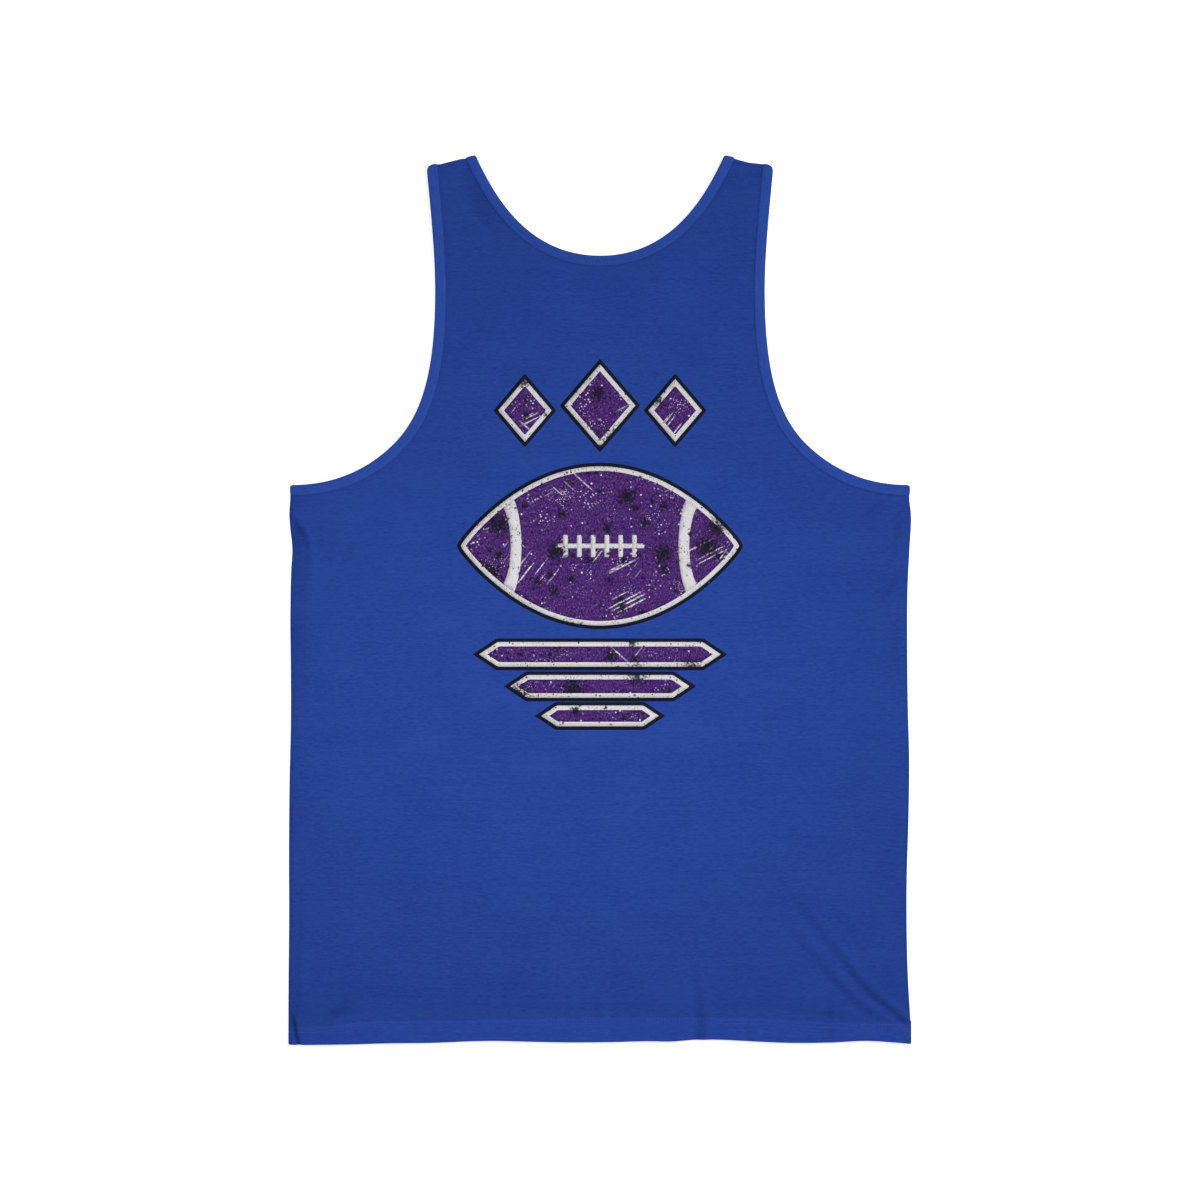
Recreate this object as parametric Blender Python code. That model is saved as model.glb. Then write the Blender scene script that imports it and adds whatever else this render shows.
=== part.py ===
"""Football tank top, laid flat on its front and built from the pieces that are sewn together.

The back panel lies on the front panel. A folded strip of the same cloth binds the neck, and one
binds each armhole: each is one ring, which runs along the upper layer, turns over a fold and
comes back along the lower layer. The hem is turned up inside, so the panels are thicker there.

Sizes are in millimetres: x across from the centre line, y up from the hem and z up from the
surface that the garment lies on. Meshes are in metres, and each object is moved down by half the
length, so that the origin lies under the middle of the garment.
"""

import math
from typing import NamedTuple

import bmesh
import bpy
from mathutils import Vector
from mathutils.geometry import delaunay_2d_cdt

MM = 0.001

# The garment's outline.
LENGTH = 722.0
UNDERARM_Y = 454.6
SHOULDER_NECK = (98.6, 722.4)
SHOULDER_ARM = (141.2, 713.9)

# The cloth's walls.
PANEL = 1.2
HEM_TURN = 0.6
BINDING = 1.6
NECK_BINDING_WIDTH = 8.0
ARMHOLE_BINDING_WIDTH = 8.5
GAP = 0.3
SEAM_ALLOWANCE = 8.0

# Heights of the back panel's outer face.
FOLD_TOP = 2 * BINDING + GAP - (BINDING - PANEL) / 2
FLAT_TOP = 4.7
ROLL = 15.0
HEM_RAISE = 0.6
HEM_GROOVE = 0.55
HEM_GROOVE_WIDTH = 9.0
HEM_STEP = 1.0
CORNER = 2.6

# The part of a crease over which it fades in or out.
FADE = 0.45

# How closely the meshes follow the curves.
BACK_STEP = 19.0
CREASE_STEP = 6.5
FRONT_STEP = 42.0
EDGE_STEP = 9.5
SEAM_STEP = 13.0
ROLL_ROWS = (3.0, 7.5)
TURN_STEPS = 5
LEAST_GAP = 2.6


class Bend(NamedTuple):
    """One cubic curve of an edge, on the wearer's right: its ends and their handles."""

    start: tuple
    start_handle: tuple
    end_handle: tuple
    end: tuple


NECK_END = (98.6, 720.5)
STRAP_END = (140.8, 712.0)
UNDERARM_END = (249.3, UNDERARM_Y)

BACK_NECK = [Bend((0.0, 640.8), (69.0, 640.8), (91.6, 707.0), NECK_END)]
FRONT_NECK = [Bend((0.0, 598.0), (76.0, 598.0), (94.5, 690.0), NECK_END)]
BACK_ARMHOLE = [
    Bend(STRAP_END, (137.9, 683.3), (133.3, 641.3), (133.3, 604.8)),
    Bend((133.3, 604.8), (133.3, 474.4), (204.2, UNDERARM_Y), UNDERARM_END),
]
FRONT_ARMHOLE = [
    Bend(STRAP_END, (135.0, 680.0), (128.5, 640.0), (128.5, 604.0)),
    Bend((128.5, 604.0), (128.5, 470.0), (203.0, UNDERARM_Y), UNDERARM_END),
]


class Width(NamedTuple):
    """Half the body's width at a height above the hem, to the wearer's left and right."""

    y: float
    left: float
    right: float


SIDES = [
    Width(0.0, 253.1, 252.4),
    Width(100.0, 252.5, 248.7),
    Width(200.0, 252.5, 250.8),
    Width(305.0, 251.0, 249.2),
    Width(400.0, 250.6, 250.8),
    Width(UNDERARM_Y, 251.3, 251.3),
]


class HemPoint(NamedTuple):
    """The hem at a distance from the centre: its lower edge and its line of stitches."""

    x: float
    edge: float
    stitch: float


HEM = [
    HemPoint(-253.1, 0.0, 14.6),
    HemPoint(-170.0, 1.1, 19.5),
    HemPoint(-89.0, 3.0, 21.7),
    HemPoint(-10.0, 1.8, 22.4),
    HemPoint(41.0, 2.7, 22.8),
    HemPoint(90.0, 3.9, 22.4),
    HemPoint(155.0, 1.4, 20.6),
    HemPoint(217.0, 3.0, 18.2),
    HemPoint(252.4, 0.4, 17.9),
]


class Across(NamedTuple):
    """The shape across a crease: a height at a distance to the right of its line."""

    offset: float
    height: float


class Crease(NamedTuple):
    """A fold in the upper layer along an arc, which fades in, and out unless it meets an edge."""

    name: str
    start: tuple
    middle: tuple
    end: tuple
    across: list
    meets_edge: bool


def single(half_width, height):
    """The shape across one soft ridge, or a trough where the height is below 0."""
    return [Across(-half_width, 0.0), Across(0.0, height), Across(half_width, 0.0)]


TWO_TROUGHS = [
    Across(-22.0, 0.0),
    Across(-14.5, 0.8),
    Across(-7.0, -1.2),
    Across(0.0, 1.2),
    Across(7.0, -1.0),
    Across(14.0, 0.6),
    Across(22.0, 0.0),
]

CREASES = [
    Crease("right drag", (150, 117), (189, 66), (242, 16), TWO_TROUGHS, True),
    Crease("hem pucker, deep", (81, 58), (82, 28), (80, 2), single(7.5, -1.2), True),
    Crease("hem pucker, ridge", (94, 50), (95, 26), (93, 2), single(8.0, 0.7), True),
    Crease("hem pucker, middle", (-5, 50), (-4, 26), (-4, 2), single(8.0, -0.6), True),
    Crease("hem pucker, right", (122, 44), (121, 24), (120, 2), single(7.0, -0.6), True),
    Crease("hem pucker, left", (-120, 46), (-118, 24), (-119, 2), single(9.0, -0.5), True),
    Crease("left side roll", (-238, 160), (-242, 80), (-243, 2), single(7.5, 0.9), True),
    Crease("left corner tuck", (-224, 34), (-213, 26), (-200, 17), single(8.0, -0.7), False),
    Crease("left side hook", (-250, 428), (-239, 413), (-236, 386), single(8.0, -0.9), False),
    Crease("left side hollow", (-240, 384), (-237, 290), (-240, 180), single(9.0, -0.6), False),
    Crease("left underarm drag", (-186, 450), (-172, 426), (-152, 400), single(11.0, -0.8), False),
    Crease("left underarm ridge", (-204, 444), (-191, 414), (-170, 386), single(12.0, 0.7), False),
    Crease("right underarm drag", (226, 440), (209, 422), (186, 402), single(11.0, -0.8), False),
    Crease("right underarm ridge", (206, 448), (188, 432), (164, 414), single(12.0, 0.6), False),
    Crease("right dent, high", (246, 426), (234, 392), (229, 360), single(10.0, -0.8), False),
    Crease("right dent, low", (247, 346), (240, 320), (238, 290), single(9.0, -0.6), False),
]

ROYAL_BLUE = (0.020, 0.058, 0.296, 1.0)
BINDING_BLUE = (0.024, 0.067, 0.319, 1.0)


class Station(NamedTuple):
    """A point on a bound edge, and the direction from there into the cloth."""

    x: float
    y: float
    into_x: float
    into_y: float

    def inward(self, distance):
        """The point this far into the cloth."""
        return (self.x + self.into_x * distance, self.y + self.into_y * distance)


def point_on(bend, t):
    """The point of a cubic curve at t, from 0 to 1."""
    s = 1.0 - t
    weights = (s * s * s, 3 * s * s * t, 3 * s * t * t, t * t * t)
    return tuple(sum(w * p[axis] for w, p in zip(weights, bend)) for axis in (0, 1))


def walk(bends, step):
    """Points along joined curves, evenly apart, about a step from each other."""
    fine = [point_on(bends[0], 0.0)]
    for bend in bends:
        fine += [point_on(bend, i / 80) for i in range(1, 81)]
    lengths = [0.0]
    for a, b in zip(fine, fine[1:]):
        lengths.append(lengths[-1] + math.dist(a, b))
    count = max(2, round(lengths[-1] / step))
    points = []
    index = 0
    for i in range(count + 1):
        target = lengths[-1] * i / count
        while index < len(lengths) - 2 and lengths[index + 1] < target:
            index += 1
        part = (target - lengths[index]) / (lengths[index + 1] - lengths[index])
        a, b = fine[index], fine[index + 1]
        points.append((a[0] + (b[0] - a[0]) * part, a[1] + (b[1] - a[1]) * part))
    return points


def through(rows, x, column):
    """A column of a table at x, by a smooth curve through its rows."""
    xs = [row[0] for row in rows]
    ys = [getattr(row, column) for row in rows]
    x = min(max(x, xs[0]), xs[-1])
    i = max(k for k in range(len(xs) - 1) if xs[k] <= x)

    def slope(k):
        low, high = max(k - 1, 0), min(k + 1, len(xs) - 1)
        return (ys[high] - ys[low]) / (xs[high] - xs[low])

    span = xs[i + 1] - xs[i]
    t = (x - xs[i]) / span
    return (
        (2 * t**3 - 3 * t**2 + 1) * ys[i]
        + (t**3 - 2 * t**2 + t) * span * slope(i)
        + (3 * t**2 - 2 * t**3) * ys[i + 1]
        + (t**3 - t**2) * span * slope(i + 1)
    )


def side_x(y, side):
    """Where the side fold lies at a height above the hem; side is -1 on the wearer's left."""
    return side * through(SIDES, y, "left" if side < 0 else "right")


def shoulder_direction(side):
    """The unit vector along the shoulder fold, from the neck to the arm."""
    run = SHOULDER_ARM[0] - SHOULDER_NECK[0]
    drop = SHOULDER_ARM[1] - SHOULDER_NECK[1]
    size = math.hypot(run, drop)
    return (side * run / size, drop / size)


def shoulder_outward(side):
    """The unit vector that points over the shoulder fold, away from the hem."""
    along = shoulder_direction(side)
    return (-side * along[1], abs(along[0]))


def stations_of(points, side, fold_into):
    """The stations along an edge that ends on folds; fold_into gives the direction there."""
    stations = []
    last = len(points) - 1
    for i, (x, y) in enumerate(points):
        a, b = points[max(i - 1, 0)], points[min(i + 1, last)]
        size = math.dist(a, b)
        into = (side * (b[1] - a[1]) / size, -(b[0] - a[0]) / size)
        if i in fold_into:
            square = abs(fold_into[i][0] * into[0] + fold_into[i][1] * into[1])
            into = (fold_into[i][0] / square, fold_into[i][1] / square)
        stations.append(Station(side * x, y, *into))
    return stations


def neck_stations(bends):
    """The neck edge of one layer, from the left shoulder to the right one."""
    points = walk(bends, EDGE_STEP)
    last = len(points) - 1
    halves = {}
    for side in (-1, 1):
        ends = {0: (0.0, -1.0), last: shoulder_direction(side)}
        halves[side] = stations_of(points, side, ends)
    return halves[-1][::-1] + halves[1][1:]


def armhole_stations(bends, side):
    """The armhole edge of one layer, from the shoulder to the underarm."""
    points = walk(bends, EDGE_STEP)
    along = shoulder_direction(side)
    ends = {0: (-along[0], -along[1]), len(points) - 1: (0.0, -1.0)}
    return stations_of(points, side, ends)


def across_segment(x, y, a, b):
    """How far a point lies from the segment a to b, how far along it, and whether to its right."""
    run, rise = b[0] - a[0], b[1] - a[1]
    t = ((x - a[0]) * run + (y - a[1]) * rise) / (run * run + rise * rise)
    t = min(max(t, 0.0), 1.0)
    right = (x - a[0]) * rise - (y - a[1]) * run > 0.0
    return math.hypot(x - a[0] - run * t, y - a[1] - rise * t), t, right


def fold_distance(x, y):
    """How far a point lies from the nearest side or shoulder fold."""
    side = -1 if x < 0 else 1
    if y <= UNDERARM_Y:
        beside = abs(side_x(y, side)) - abs(x)
    else:
        beside = math.hypot(abs(side_x(UNDERARM_Y, side)) - abs(x), y - UNDERARM_Y)
    above = across_segment(abs(x), y, SHOULDER_NECK, SHOULDER_ARM)[0]
    return max(0.0, min(beside, above))


def arc_points(crease, parts):
    """Points along the arc through a crease's three points."""
    points = []
    for i in range(parts + 1):
        t = i / parts
        weights = ((1 - t) * (1 - 2 * t), 4 * t * (1 - t), t * (2 * t - 1))
        arc = (crease.start, crease.middle, crease.end)
        points.append(tuple(sum(w * p[k] for w, p in zip(weights, arc)) for k in (0, 1)))
    return points


CREASE_LINES = [arc_points(crease, 8) for crease in CREASES]


def height_across(across, offset):
    """The height at an offset from a crease's line, by a wave through its table."""
    if not across[0].offset < offset < across[-1].offset:
        return 0.0
    for low, high in zip(across, across[1:]):
        if offset <= high.offset:
            t = (offset - low.offset) / (high.offset - low.offset)
            return low.height + (high.height - low.height) * (1 - math.cos(math.pi * t)) / 2
    return 0.0


def eased(part):
    """A smooth rise from 0 to 1 as the part goes from 0 to 1."""
    part = min(max(part, 0.0), 1.0)
    return part * part * (3.0 - 2.0 * part)


def crease_shape(x, y):
    """The height that the creases add at a point."""
    height = 0.0
    for crease, line in zip(CREASES, CREASE_LINES):
        found = []
        for i, (a, b) in enumerate(zip(line, line[1:])):
            away, t, right = across_segment(x, y, a, b)
            found.append((away, i + t, right))
        away, at, right = min(found)
        along = at / (len(line) - 1)
        fade = eased(along / FADE)
        if not crease.meets_edge:
            fade *= eased((1.0 - along) / FADE)
        height += fade * height_across(crease.across, away if right else -away)
    return height


def hem_share(x, y):
    """1 on the turned-up hem, 0 above it, with a short slope at the stitches."""
    above = (y - through(HEM, x, "stitch")) / HEM_STEP
    return min(max(0.5 - above / 2, 0.0), 1.0)


def upper_top(x, y):
    """Height of the back layer's outer face."""
    folded = fold_distance(x, y)
    rolled = math.sin(math.pi / 2 * min(folded / ROLL, 1.0))
    above_hem = abs(y - through(HEM, x, "stitch") - HEM_GROOVE_WIDTH / 2)
    groove = max(0.0, 1.0 - above_hem / HEM_GROOVE_WIDTH) * HEM_GROOVE
    inner = FLAT_TOP - FOLD_TOP - groove + crease_shape(x, y)
    return FOLD_TOP + max(0.0, inner) * rolled + HEM_RAISE * hem_share(x, y)


def upper_under(x, y):
    """Height of the back layer's inner face."""
    return upper_top(x, y) - PANEL - HEM_TURN * hem_share(x, y)


def lower_top(x, y):
    """Height of the front layer's inner face, thicker at its seams and its hem."""
    seam = max(0.0, 1.0 - fold_distance(x, y) / SEAM_ALLOWANCE)
    return PANEL + HEM_TURN * max(seam, hem_share(x, y))


def lower_under(_x, _y):
    """The front layer lies on the surface."""
    return 0.0


def binding_section(width):
    """A binding across: (distance from its fold, height from its middle), a closed outline."""
    half = BINDING / 2
    upper = [(0.35, 0.6 * half), (1.3, half), (width, half)]
    lower = [(w, -n) for w, n in reversed(upper)]
    return [(0.0, 0.0)] + upper + lower


def corner_setback(w):
    """How far the binding's fold line draws back near its outer edge, to round the corner."""
    return CORNER - math.sqrt(CORNER**2 - max(0.0, CORNER - w) ** 2)


def layer_sections(stations, width, upper):
    """A binding's sections along one layer, with the corners at both its ends rounded."""
    sections = []
    last = len(stations) - 1
    for i, station in enumerate(stations):
        beside = stations[1 if i == 0 else i - 1]
        reach = math.dist(station[:2], beside[:2])
        section = []
        for w, n in binding_section(width):
            back = corner_setback(w) / reach if i in (0, last) else 0.0
            x, y = station.inward(w)
            x += (beside.x - station.x) * back
            y += (beside.y - station.y) * back
            middle = upper_top(x, y) - PANEL / 2 if upper else BINDING / 2
            section.append(Vector((x, y, middle + n if upper else middle - n)))
        sections.append(section)
    return sections


def turn_over(above, below, outward):
    """The sections of a binding between its upper and its lower layer, round a fold."""
    sections = []
    for step in range(1, TURN_STEPS):
        angle = math.pi * step / TURN_STEPS
        section = []
        for a, b in zip(above, below):
            radius = (a.z - b.z) / 2
            out = radius * math.sin(angle)
            z = (a.z + b.z) / 2 + radius * math.cos(angle)
            section.append(Vector((a.x + outward[0] * out, a.y + outward[1] * out, z)))
        sections.append(section)
    return sections


def ring_sections(back, front, width, start_outward, end_outward):
    """A binding's sections: along the back edge, over a fold, and back along the front edge."""
    above = layer_sections(back, width, True)
    below = layer_sections(front, width, False)
    over_end = turn_over(above[-1], below[-1], end_outward)
    over_start = turn_over(above[0], below[0], start_outward)
    return above + over_end + below[::-1] + over_start[::-1]


def material(name, colour):
    """A cloth material of its own for one piece."""
    made = bpy.data.materials.new(name)
    made.use_nodes = True
    shader = made.node_tree.nodes["Principled BSDF"]
    shader.inputs["Base Color"].default_value = colour
    shader.inputs["Roughness"].default_value = 0.78
    shader.inputs["Metallic"].default_value = 0.0
    made.diffuse_color = colour
    return made


def place(name, bm, colour, collection):
    """Turn a mesh in millimetres into an object in its place, with faces that point out."""
    bmesh.ops.recalc_face_normals(bm, faces=bm.faces)
    bmesh.ops.scale(bm, vec=(MM, MM, MM), verts=bm.verts)
    mesh = bpy.data.meshes.new(name)
    bm.to_mesh(mesh)
    bm.free()
    mesh.materials.append(material(f"{name}_cloth", colour))
    piece = bpy.data.objects.new(name, mesh)
    piece.location.y = -LENGTH / 2 * MM
    collection.objects.link(piece)
    return piece


def binding(name, sections, collection):
    """A closed ring of folded cloth, lofted through its sections."""
    bm = bmesh.new()
    rings = [[bm.verts.new(point) for point in section] for section in sections]
    for ring, after in zip(rings, rings[1:] + rings[:1]):
        for i in range(len(ring)):
            j = (i + 1) % len(ring)
            bm.faces.new((ring[i], ring[j], after[j], after[i]))
    return place(name, bm, BINDING_BLUE, collection)


def side_heights(side, foot):
    """Heights of the points up one side: the hem, the two rows of its step, and the seam."""
    stitch = through(HEM, side * SIDES[0].left, "stitch")
    low = stitch + HEM_STEP
    rows = round((foot - low) / SEAM_STEP)
    return [stitch - HEM_STEP] + [low + (foot - low) * i / rows for i in range(rows + 1)]


def panel_outline(neck, armholes):
    """A panel's edge, from the hem's left corner: hem, side, armhole, strap, neck and back."""
    neck_seam = NECK_BINDING_WIDTH + GAP
    seam = ARMHOLE_BINDING_WIDTH + GAP
    span = SIDES[0].left + SIDES[0].right
    count = round(span / EDGE_STEP)
    hem = [-SIDES[0].left + span * i / count for i in range(count + 1)]
    foot = armholes[1][-1].inward(seam)[1]
    outline = [(x, through(HEM, x, "edge")) for x in hem]
    outline += [(side_x(y, 1), y) for y in side_heights(1, foot)]
    outline += [s.inward(seam) for s in armholes[1][::-1]]
    outline += shoulder_edge(armholes[1][0].inward(seam), neck[-1].inward(neck_seam))
    outline += [s.inward(neck_seam) for s in neck[::-1]]
    outline += shoulder_edge(neck[0].inward(neck_seam), armholes[-1][0].inward(seam))
    outline += [s.inward(seam) for s in armholes[-1]]
    outline += [(side_x(y, -1), y) for y in reversed(side_heights(-1, foot))]
    return outline


def shoulder_edge(start, end):
    """The two corners of a panel on its shoulder fold, straight out from two seam points."""
    corners = []
    for x, y in (start, end):
        side = -1 if x < 0 else 1
        run = (abs(x) - SHOULDER_NECK[0]) / (SHOULDER_ARM[0] - SHOULDER_NECK[0])
        fold_y = SHOULDER_NECK[1] + run * (SHOULDER_ARM[1] - SHOULDER_NECK[1])
        out = shoulder_outward(side)
        reach = (fold_y - y) * out[1]
        corners.append((x + out[0] * reach, y + out[1] * reach))
    return corners


def clear(points, x, y, reach):
    """Whether no point lies within reach of x, y."""
    return all(abs(x - p[0]) > reach or math.dist((x, y), p) > reach for p in points)


def hem_rows():
    """The two rows of points that give a panel's hem its step, from left to right."""
    rows = []
    for above in (-HEM_STEP, HEM_STEP):
        ends = []
        for side in (-1, 1):
            y = through(HEM, side * SIDES[0].left, "stitch") + above
            ends.append(side_x(y, side))
        count = round((ends[1] - ends[0]) / EDGE_STEP)
        inner = [ends[0] + (ends[1] - ends[0]) * i / count for i in range(1, count)]
        rows.append([(x, through(HEM, x, "stitch") + above) for x in inner])
    return rows


def roll_rows(foot):
    """Rows of points along both sides, where the back panel rolls down to its side folds."""
    points = []
    for side in (-1, 1):
        for inset in ROLL_ROWS:
            points += [(side_x(y, side) - side * inset, y) for y in side_heights(side, foot)[2:-1]]
    return points


def crease_rows():
    """Rows of points along each crease, on the rows of its shape and halfway between them."""
    points = []
    for crease in CREASES:
        parts = max(4, round(math.dist(crease.start, crease.end) / CREASE_STEP))
        line = arc_points(crease, parts)
        offsets = []
        for low, high in zip(crease.across, crease.across[1:]):
            offsets += [low.offset, (low.offset + high.offset) / 2]
        offsets.append(crease.across[-1].offset)
        for i, (x, y) in enumerate(line):
            a, b = line[max(i - 1, 0)], line[min(i + 1, parts)]
            size = math.dist(a, b)
            right = ((b[1] - a[1]) / size, -(b[0] - a[0]) / size)
            points += [(x + right[0] * offset, y + right[1] * offset) for offset in offsets]
    return points


def hexagonal(step):
    """Points a step apart over the whole garment."""
    half = SIDES[0].left
    row_step = step * math.sqrt(3) / 2
    for row in range(int(LENGTH / row_step) + 1):
        shift = step / 2 if row % 2 else 0.0
        for column in range(int(2 * half / step) + 1):
            yield -half + shift + column * step, row * row_step


def inner_points(outline, placed, step):
    """Points inside a panel: those placed on purpose that have room, then a grid between them."""
    points = []
    for x, y in placed:
        if clear(outline + points, x, y, LEAST_GAP):
            points.append((x, y))
    for x, y in hexagonal(step):
        if clear(outline + points, x, y, step * 0.45):
            points.append((x, y))
    return points


def panel(name, outline, inside, rows, top, under, collection):
    """A panel of cloth: its outline filled with triangles, raised and given a wall."""
    flat = [Vector(p) for p in outline]
    edges = []
    for row in rows:
        first = len(flat)
        flat += [Vector(p) for p in row]
        edges += [(i, i + 1) for i in range(first, len(flat) - 1)]
    flat += [Vector(p) for p in inside]
    face = [list(range(len(outline)))]
    points, _, triangles, _, _, _ = delaunay_2d_cdt(flat, edges, face, 1, 1e-4)
    bm = bmesh.new()
    verts = [bm.verts.new((p.x, p.y, 0.0)) for p in points]
    for triangle in triangles:
        bm.faces.new([verts[i] for i in triangle])
    loose = [v for v in bm.verts if not v.link_faces]
    bmesh.ops.delete(bm, geom=loose, context="VERTS")
    lower = list(bm.verts)
    extruded = bmesh.ops.extrude_face_region(bm, geom=bm.faces[:])
    for vert in (g for g in extruded["geom"] if isinstance(g, bmesh.types.BMVert)):
        vert.co.z = top(vert.co.x, vert.co.y)
    for vert in lower:
        vert.co.z = under(vert.co.x, vert.co.y)
    return place(name, bm, ROYAL_BLUE, collection)


def build():
    """Build the tank top's five pieces."""
    for obj in list(bpy.data.objects):
        bpy.data.objects.remove(obj)
    collection = bpy.data.collections.new("football_tank_top")
    bpy.context.scene.collection.children.link(collection)

    back_neck, front_neck = neck_stations(BACK_NECK), neck_stations(FRONT_NECK)
    back_armholes = {side: armhole_stations(BACK_ARMHOLE, side) for side in (-1, 1)}
    front_armholes = {side: armhole_stations(FRONT_ARMHOLE, side) for side in (-1, 1)}

    rows = hem_rows()
    foot = UNDERARM_Y - ARMHOLE_BINDING_WIDTH - GAP
    outline = panel_outline(back_neck, back_armholes)
    inside = inner_points(outline + rows[0] + rows[1], roll_rows(foot) + crease_rows(), BACK_STEP)
    panel("back_panel", outline, inside, rows, upper_top, upper_under, collection)

    outline = panel_outline(front_neck, front_armholes)
    inside = inner_points(outline + rows[0] + rows[1], [], FRONT_STEP)
    panel("front_panel", outline, inside, rows, lower_top, lower_under, collection)

    shoulders = (shoulder_outward(-1), shoulder_outward(1))
    sections = ring_sections(back_neck, front_neck, NECK_BINDING_WIDTH, *shoulders)
    binding("neck_binding", sections, collection)
    for side, wearer in ((-1, "left"), (1, "right")):
        back, front = back_armholes[side], front_armholes[side]
        folds = (shoulder_outward(side), (side, 0.0))
        sections = ring_sections(back, front, ARMHOLE_BINDING_WIDTH, *folds)
        binding(f"armhole_binding_{wearer}", sections, collection)


build()
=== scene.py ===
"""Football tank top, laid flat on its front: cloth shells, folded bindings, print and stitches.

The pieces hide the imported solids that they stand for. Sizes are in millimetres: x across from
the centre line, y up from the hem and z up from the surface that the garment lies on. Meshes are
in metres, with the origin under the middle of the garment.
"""

import logging
import math
from dataclasses import dataclass
from enum import Enum

import bpy
import numpy as np
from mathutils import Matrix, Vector, kdtree
from mathutils.geometry import delaunay_2d_cdt


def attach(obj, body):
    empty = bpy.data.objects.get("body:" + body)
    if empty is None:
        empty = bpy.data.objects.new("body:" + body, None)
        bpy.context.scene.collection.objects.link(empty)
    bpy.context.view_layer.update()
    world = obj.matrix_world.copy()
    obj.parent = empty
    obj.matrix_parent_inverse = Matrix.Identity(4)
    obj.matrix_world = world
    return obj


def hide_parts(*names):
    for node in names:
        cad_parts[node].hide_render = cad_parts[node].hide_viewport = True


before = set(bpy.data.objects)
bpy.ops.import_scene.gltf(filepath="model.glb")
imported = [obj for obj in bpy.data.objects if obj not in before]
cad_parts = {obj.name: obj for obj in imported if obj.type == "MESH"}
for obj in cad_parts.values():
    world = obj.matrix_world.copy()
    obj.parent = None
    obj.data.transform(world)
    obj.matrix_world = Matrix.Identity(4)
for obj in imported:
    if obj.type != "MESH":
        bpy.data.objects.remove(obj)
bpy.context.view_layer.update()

log = logging.getLogger("football_tank_top")

Table = tuple[tuple[float, ...], ...]
Array = np.ndarray
Material = bpy.types.Material
Tree = bpy.types.NodeTree
Socket = bpy.types.NodeSocket
MATH = "ShaderNodeMath"
# The UV map that says where each place lies in the cloth, in metres across and along its wales.
CLOTH_MAP = "cloth"

MM = 0.001
LENGTH = 722.0
UNDERARM_Y = 454.6

# The shoulder fold, on the wearer's right.
SHOULDER_NECK = (98.6, 722.7)
SHOULDER_ARM = (141.2, 714.2)

# How far inside the straight line from neck to arm the shoulder folds sag, by the place across.
SHOULDER_SAG: Table = (
    (-141.0, 0.2), (-136.0, 0.3), (-131.0, 0.9), (-120.0, 0.5), (-110.6, 0.4), (-107.0, 1.2),
    (-100.0, 0.2), (100.0, 0.1), (106.0, 0.4), (112.0, 0.9), (116.0, 1.2), (120.0, 1.5),
    (128.0, 0.9), (136.0, 0.3), (141.0, 0.1),
)

# Where the bound edges end on the folds.
NECK_END = (100.4, 720.9)
STRAP_END = (140.8, 712.3)
UNDERARM_END = (249.9, UNDERARM_Y)

# The cloth. A real jersey is about 0.6 mm thick.
CLOTH = 0.7
NECK_BINDING_WIDTH = 8.5
ARMHOLE_BINDING_WIDTH = 8.8
OVERLAP = 4.0

# Heights of the back panel's outer face.
FOLD_TOP = 3.3
FLAT_TOP = 4.7
ROLL = 15.0
CREASE_ROLL = 5.0
BACK_SEAM_HEIGHT = 1.95
BACK_EDGE_RADIUS = 2.3
SIDE_SEAM = 1.9

# Heights of the front panel's outer face, which lies on the floor.
FRONT_SEAM_HEIGHT = 1.8
FRONT_EDGE_RADIUS = 1.8
FRONT_LIFT = 0.65
LIFT_REACH = 16.0
# The front is pressed flat on the floor, so its waves and seam dips are smaller than the back's.
FRONT_WAVE_SHARE = 0.35
FRONT_SEAM_SHARE = 0.8

# The hem: how much it stands up, over what stretch, and the stretch where its tone changes.
HEM_RAISE = 0.6
HEM_RAMP = 5.5
HEM_BLEND = 2.4
HEM_GROOVE = 0.5
HEM_GROOVE_WIDTH = 9.0
HEM_RADIUS = 0.8
HEM_DEPTH = 18.0

# The hem's two rows of stitches: how far below its stitched edge they lie, how deep and wide a
# groove they press, and the run that they cover.
HEM_ROWS = (1.5, 5.0)
HEM_ROW_DEPTH = 0.09
HEM_ROW_SPREAD = 0.6
HEM_RUN = (-248.0, 247.5)
HEM_RUN_STEP = 1.45

# A binding's row: how far inside the inner edge it lies, how high the face is there above the
# strip's middle, and how deep it has sunk in.
BINDING_ROW = 1.5
BINDING_FACE = 0.8
BINDING_ROW_SUNK = 0.03

# How closely the meshes follow the shapes.
BACK_GRID = 3.3
FRONT_GRID = 5.0
EDGE_STEP = 2.6
SHOULDER_STEP = 1.5
BEND_STEPS = 160
FOLD_STEPS = 9
HEM_STEPS = 6
# The distances from a fold, past a binding's inner edge, below the hem's stitched edge and above
# its lower edge at which rows of points follow the face, and the least room between points.
RIM = (0.05, 0.2, 0.5, 0.85, 1.2, 1.55, 1.9, 2.25, 2.7, 3.4)
BINDING_LINES = (-1.2, 0.2, 0.9, 1.7, 2.9)
STITCH_LINES = (-2.6, -1.2, -0.4, 0.4, 1.0, 1.5, 2.0, 2.7, 3.6, 4.4, 5.0, 5.6, 6.6)
HEM_LINES = (1.6, 3.2)
LEAST_ROOM = 0.12
SHOULDER_POINTS = 30
# A grid's least room to placed points, as a share of its step.
GRID_ROOM = 0.5
FILM_ROOM = 0.4
# How many pairs of a point and a line's piece are measured at once.
PAIRS_AT_ONCE = 3_000_000

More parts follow.
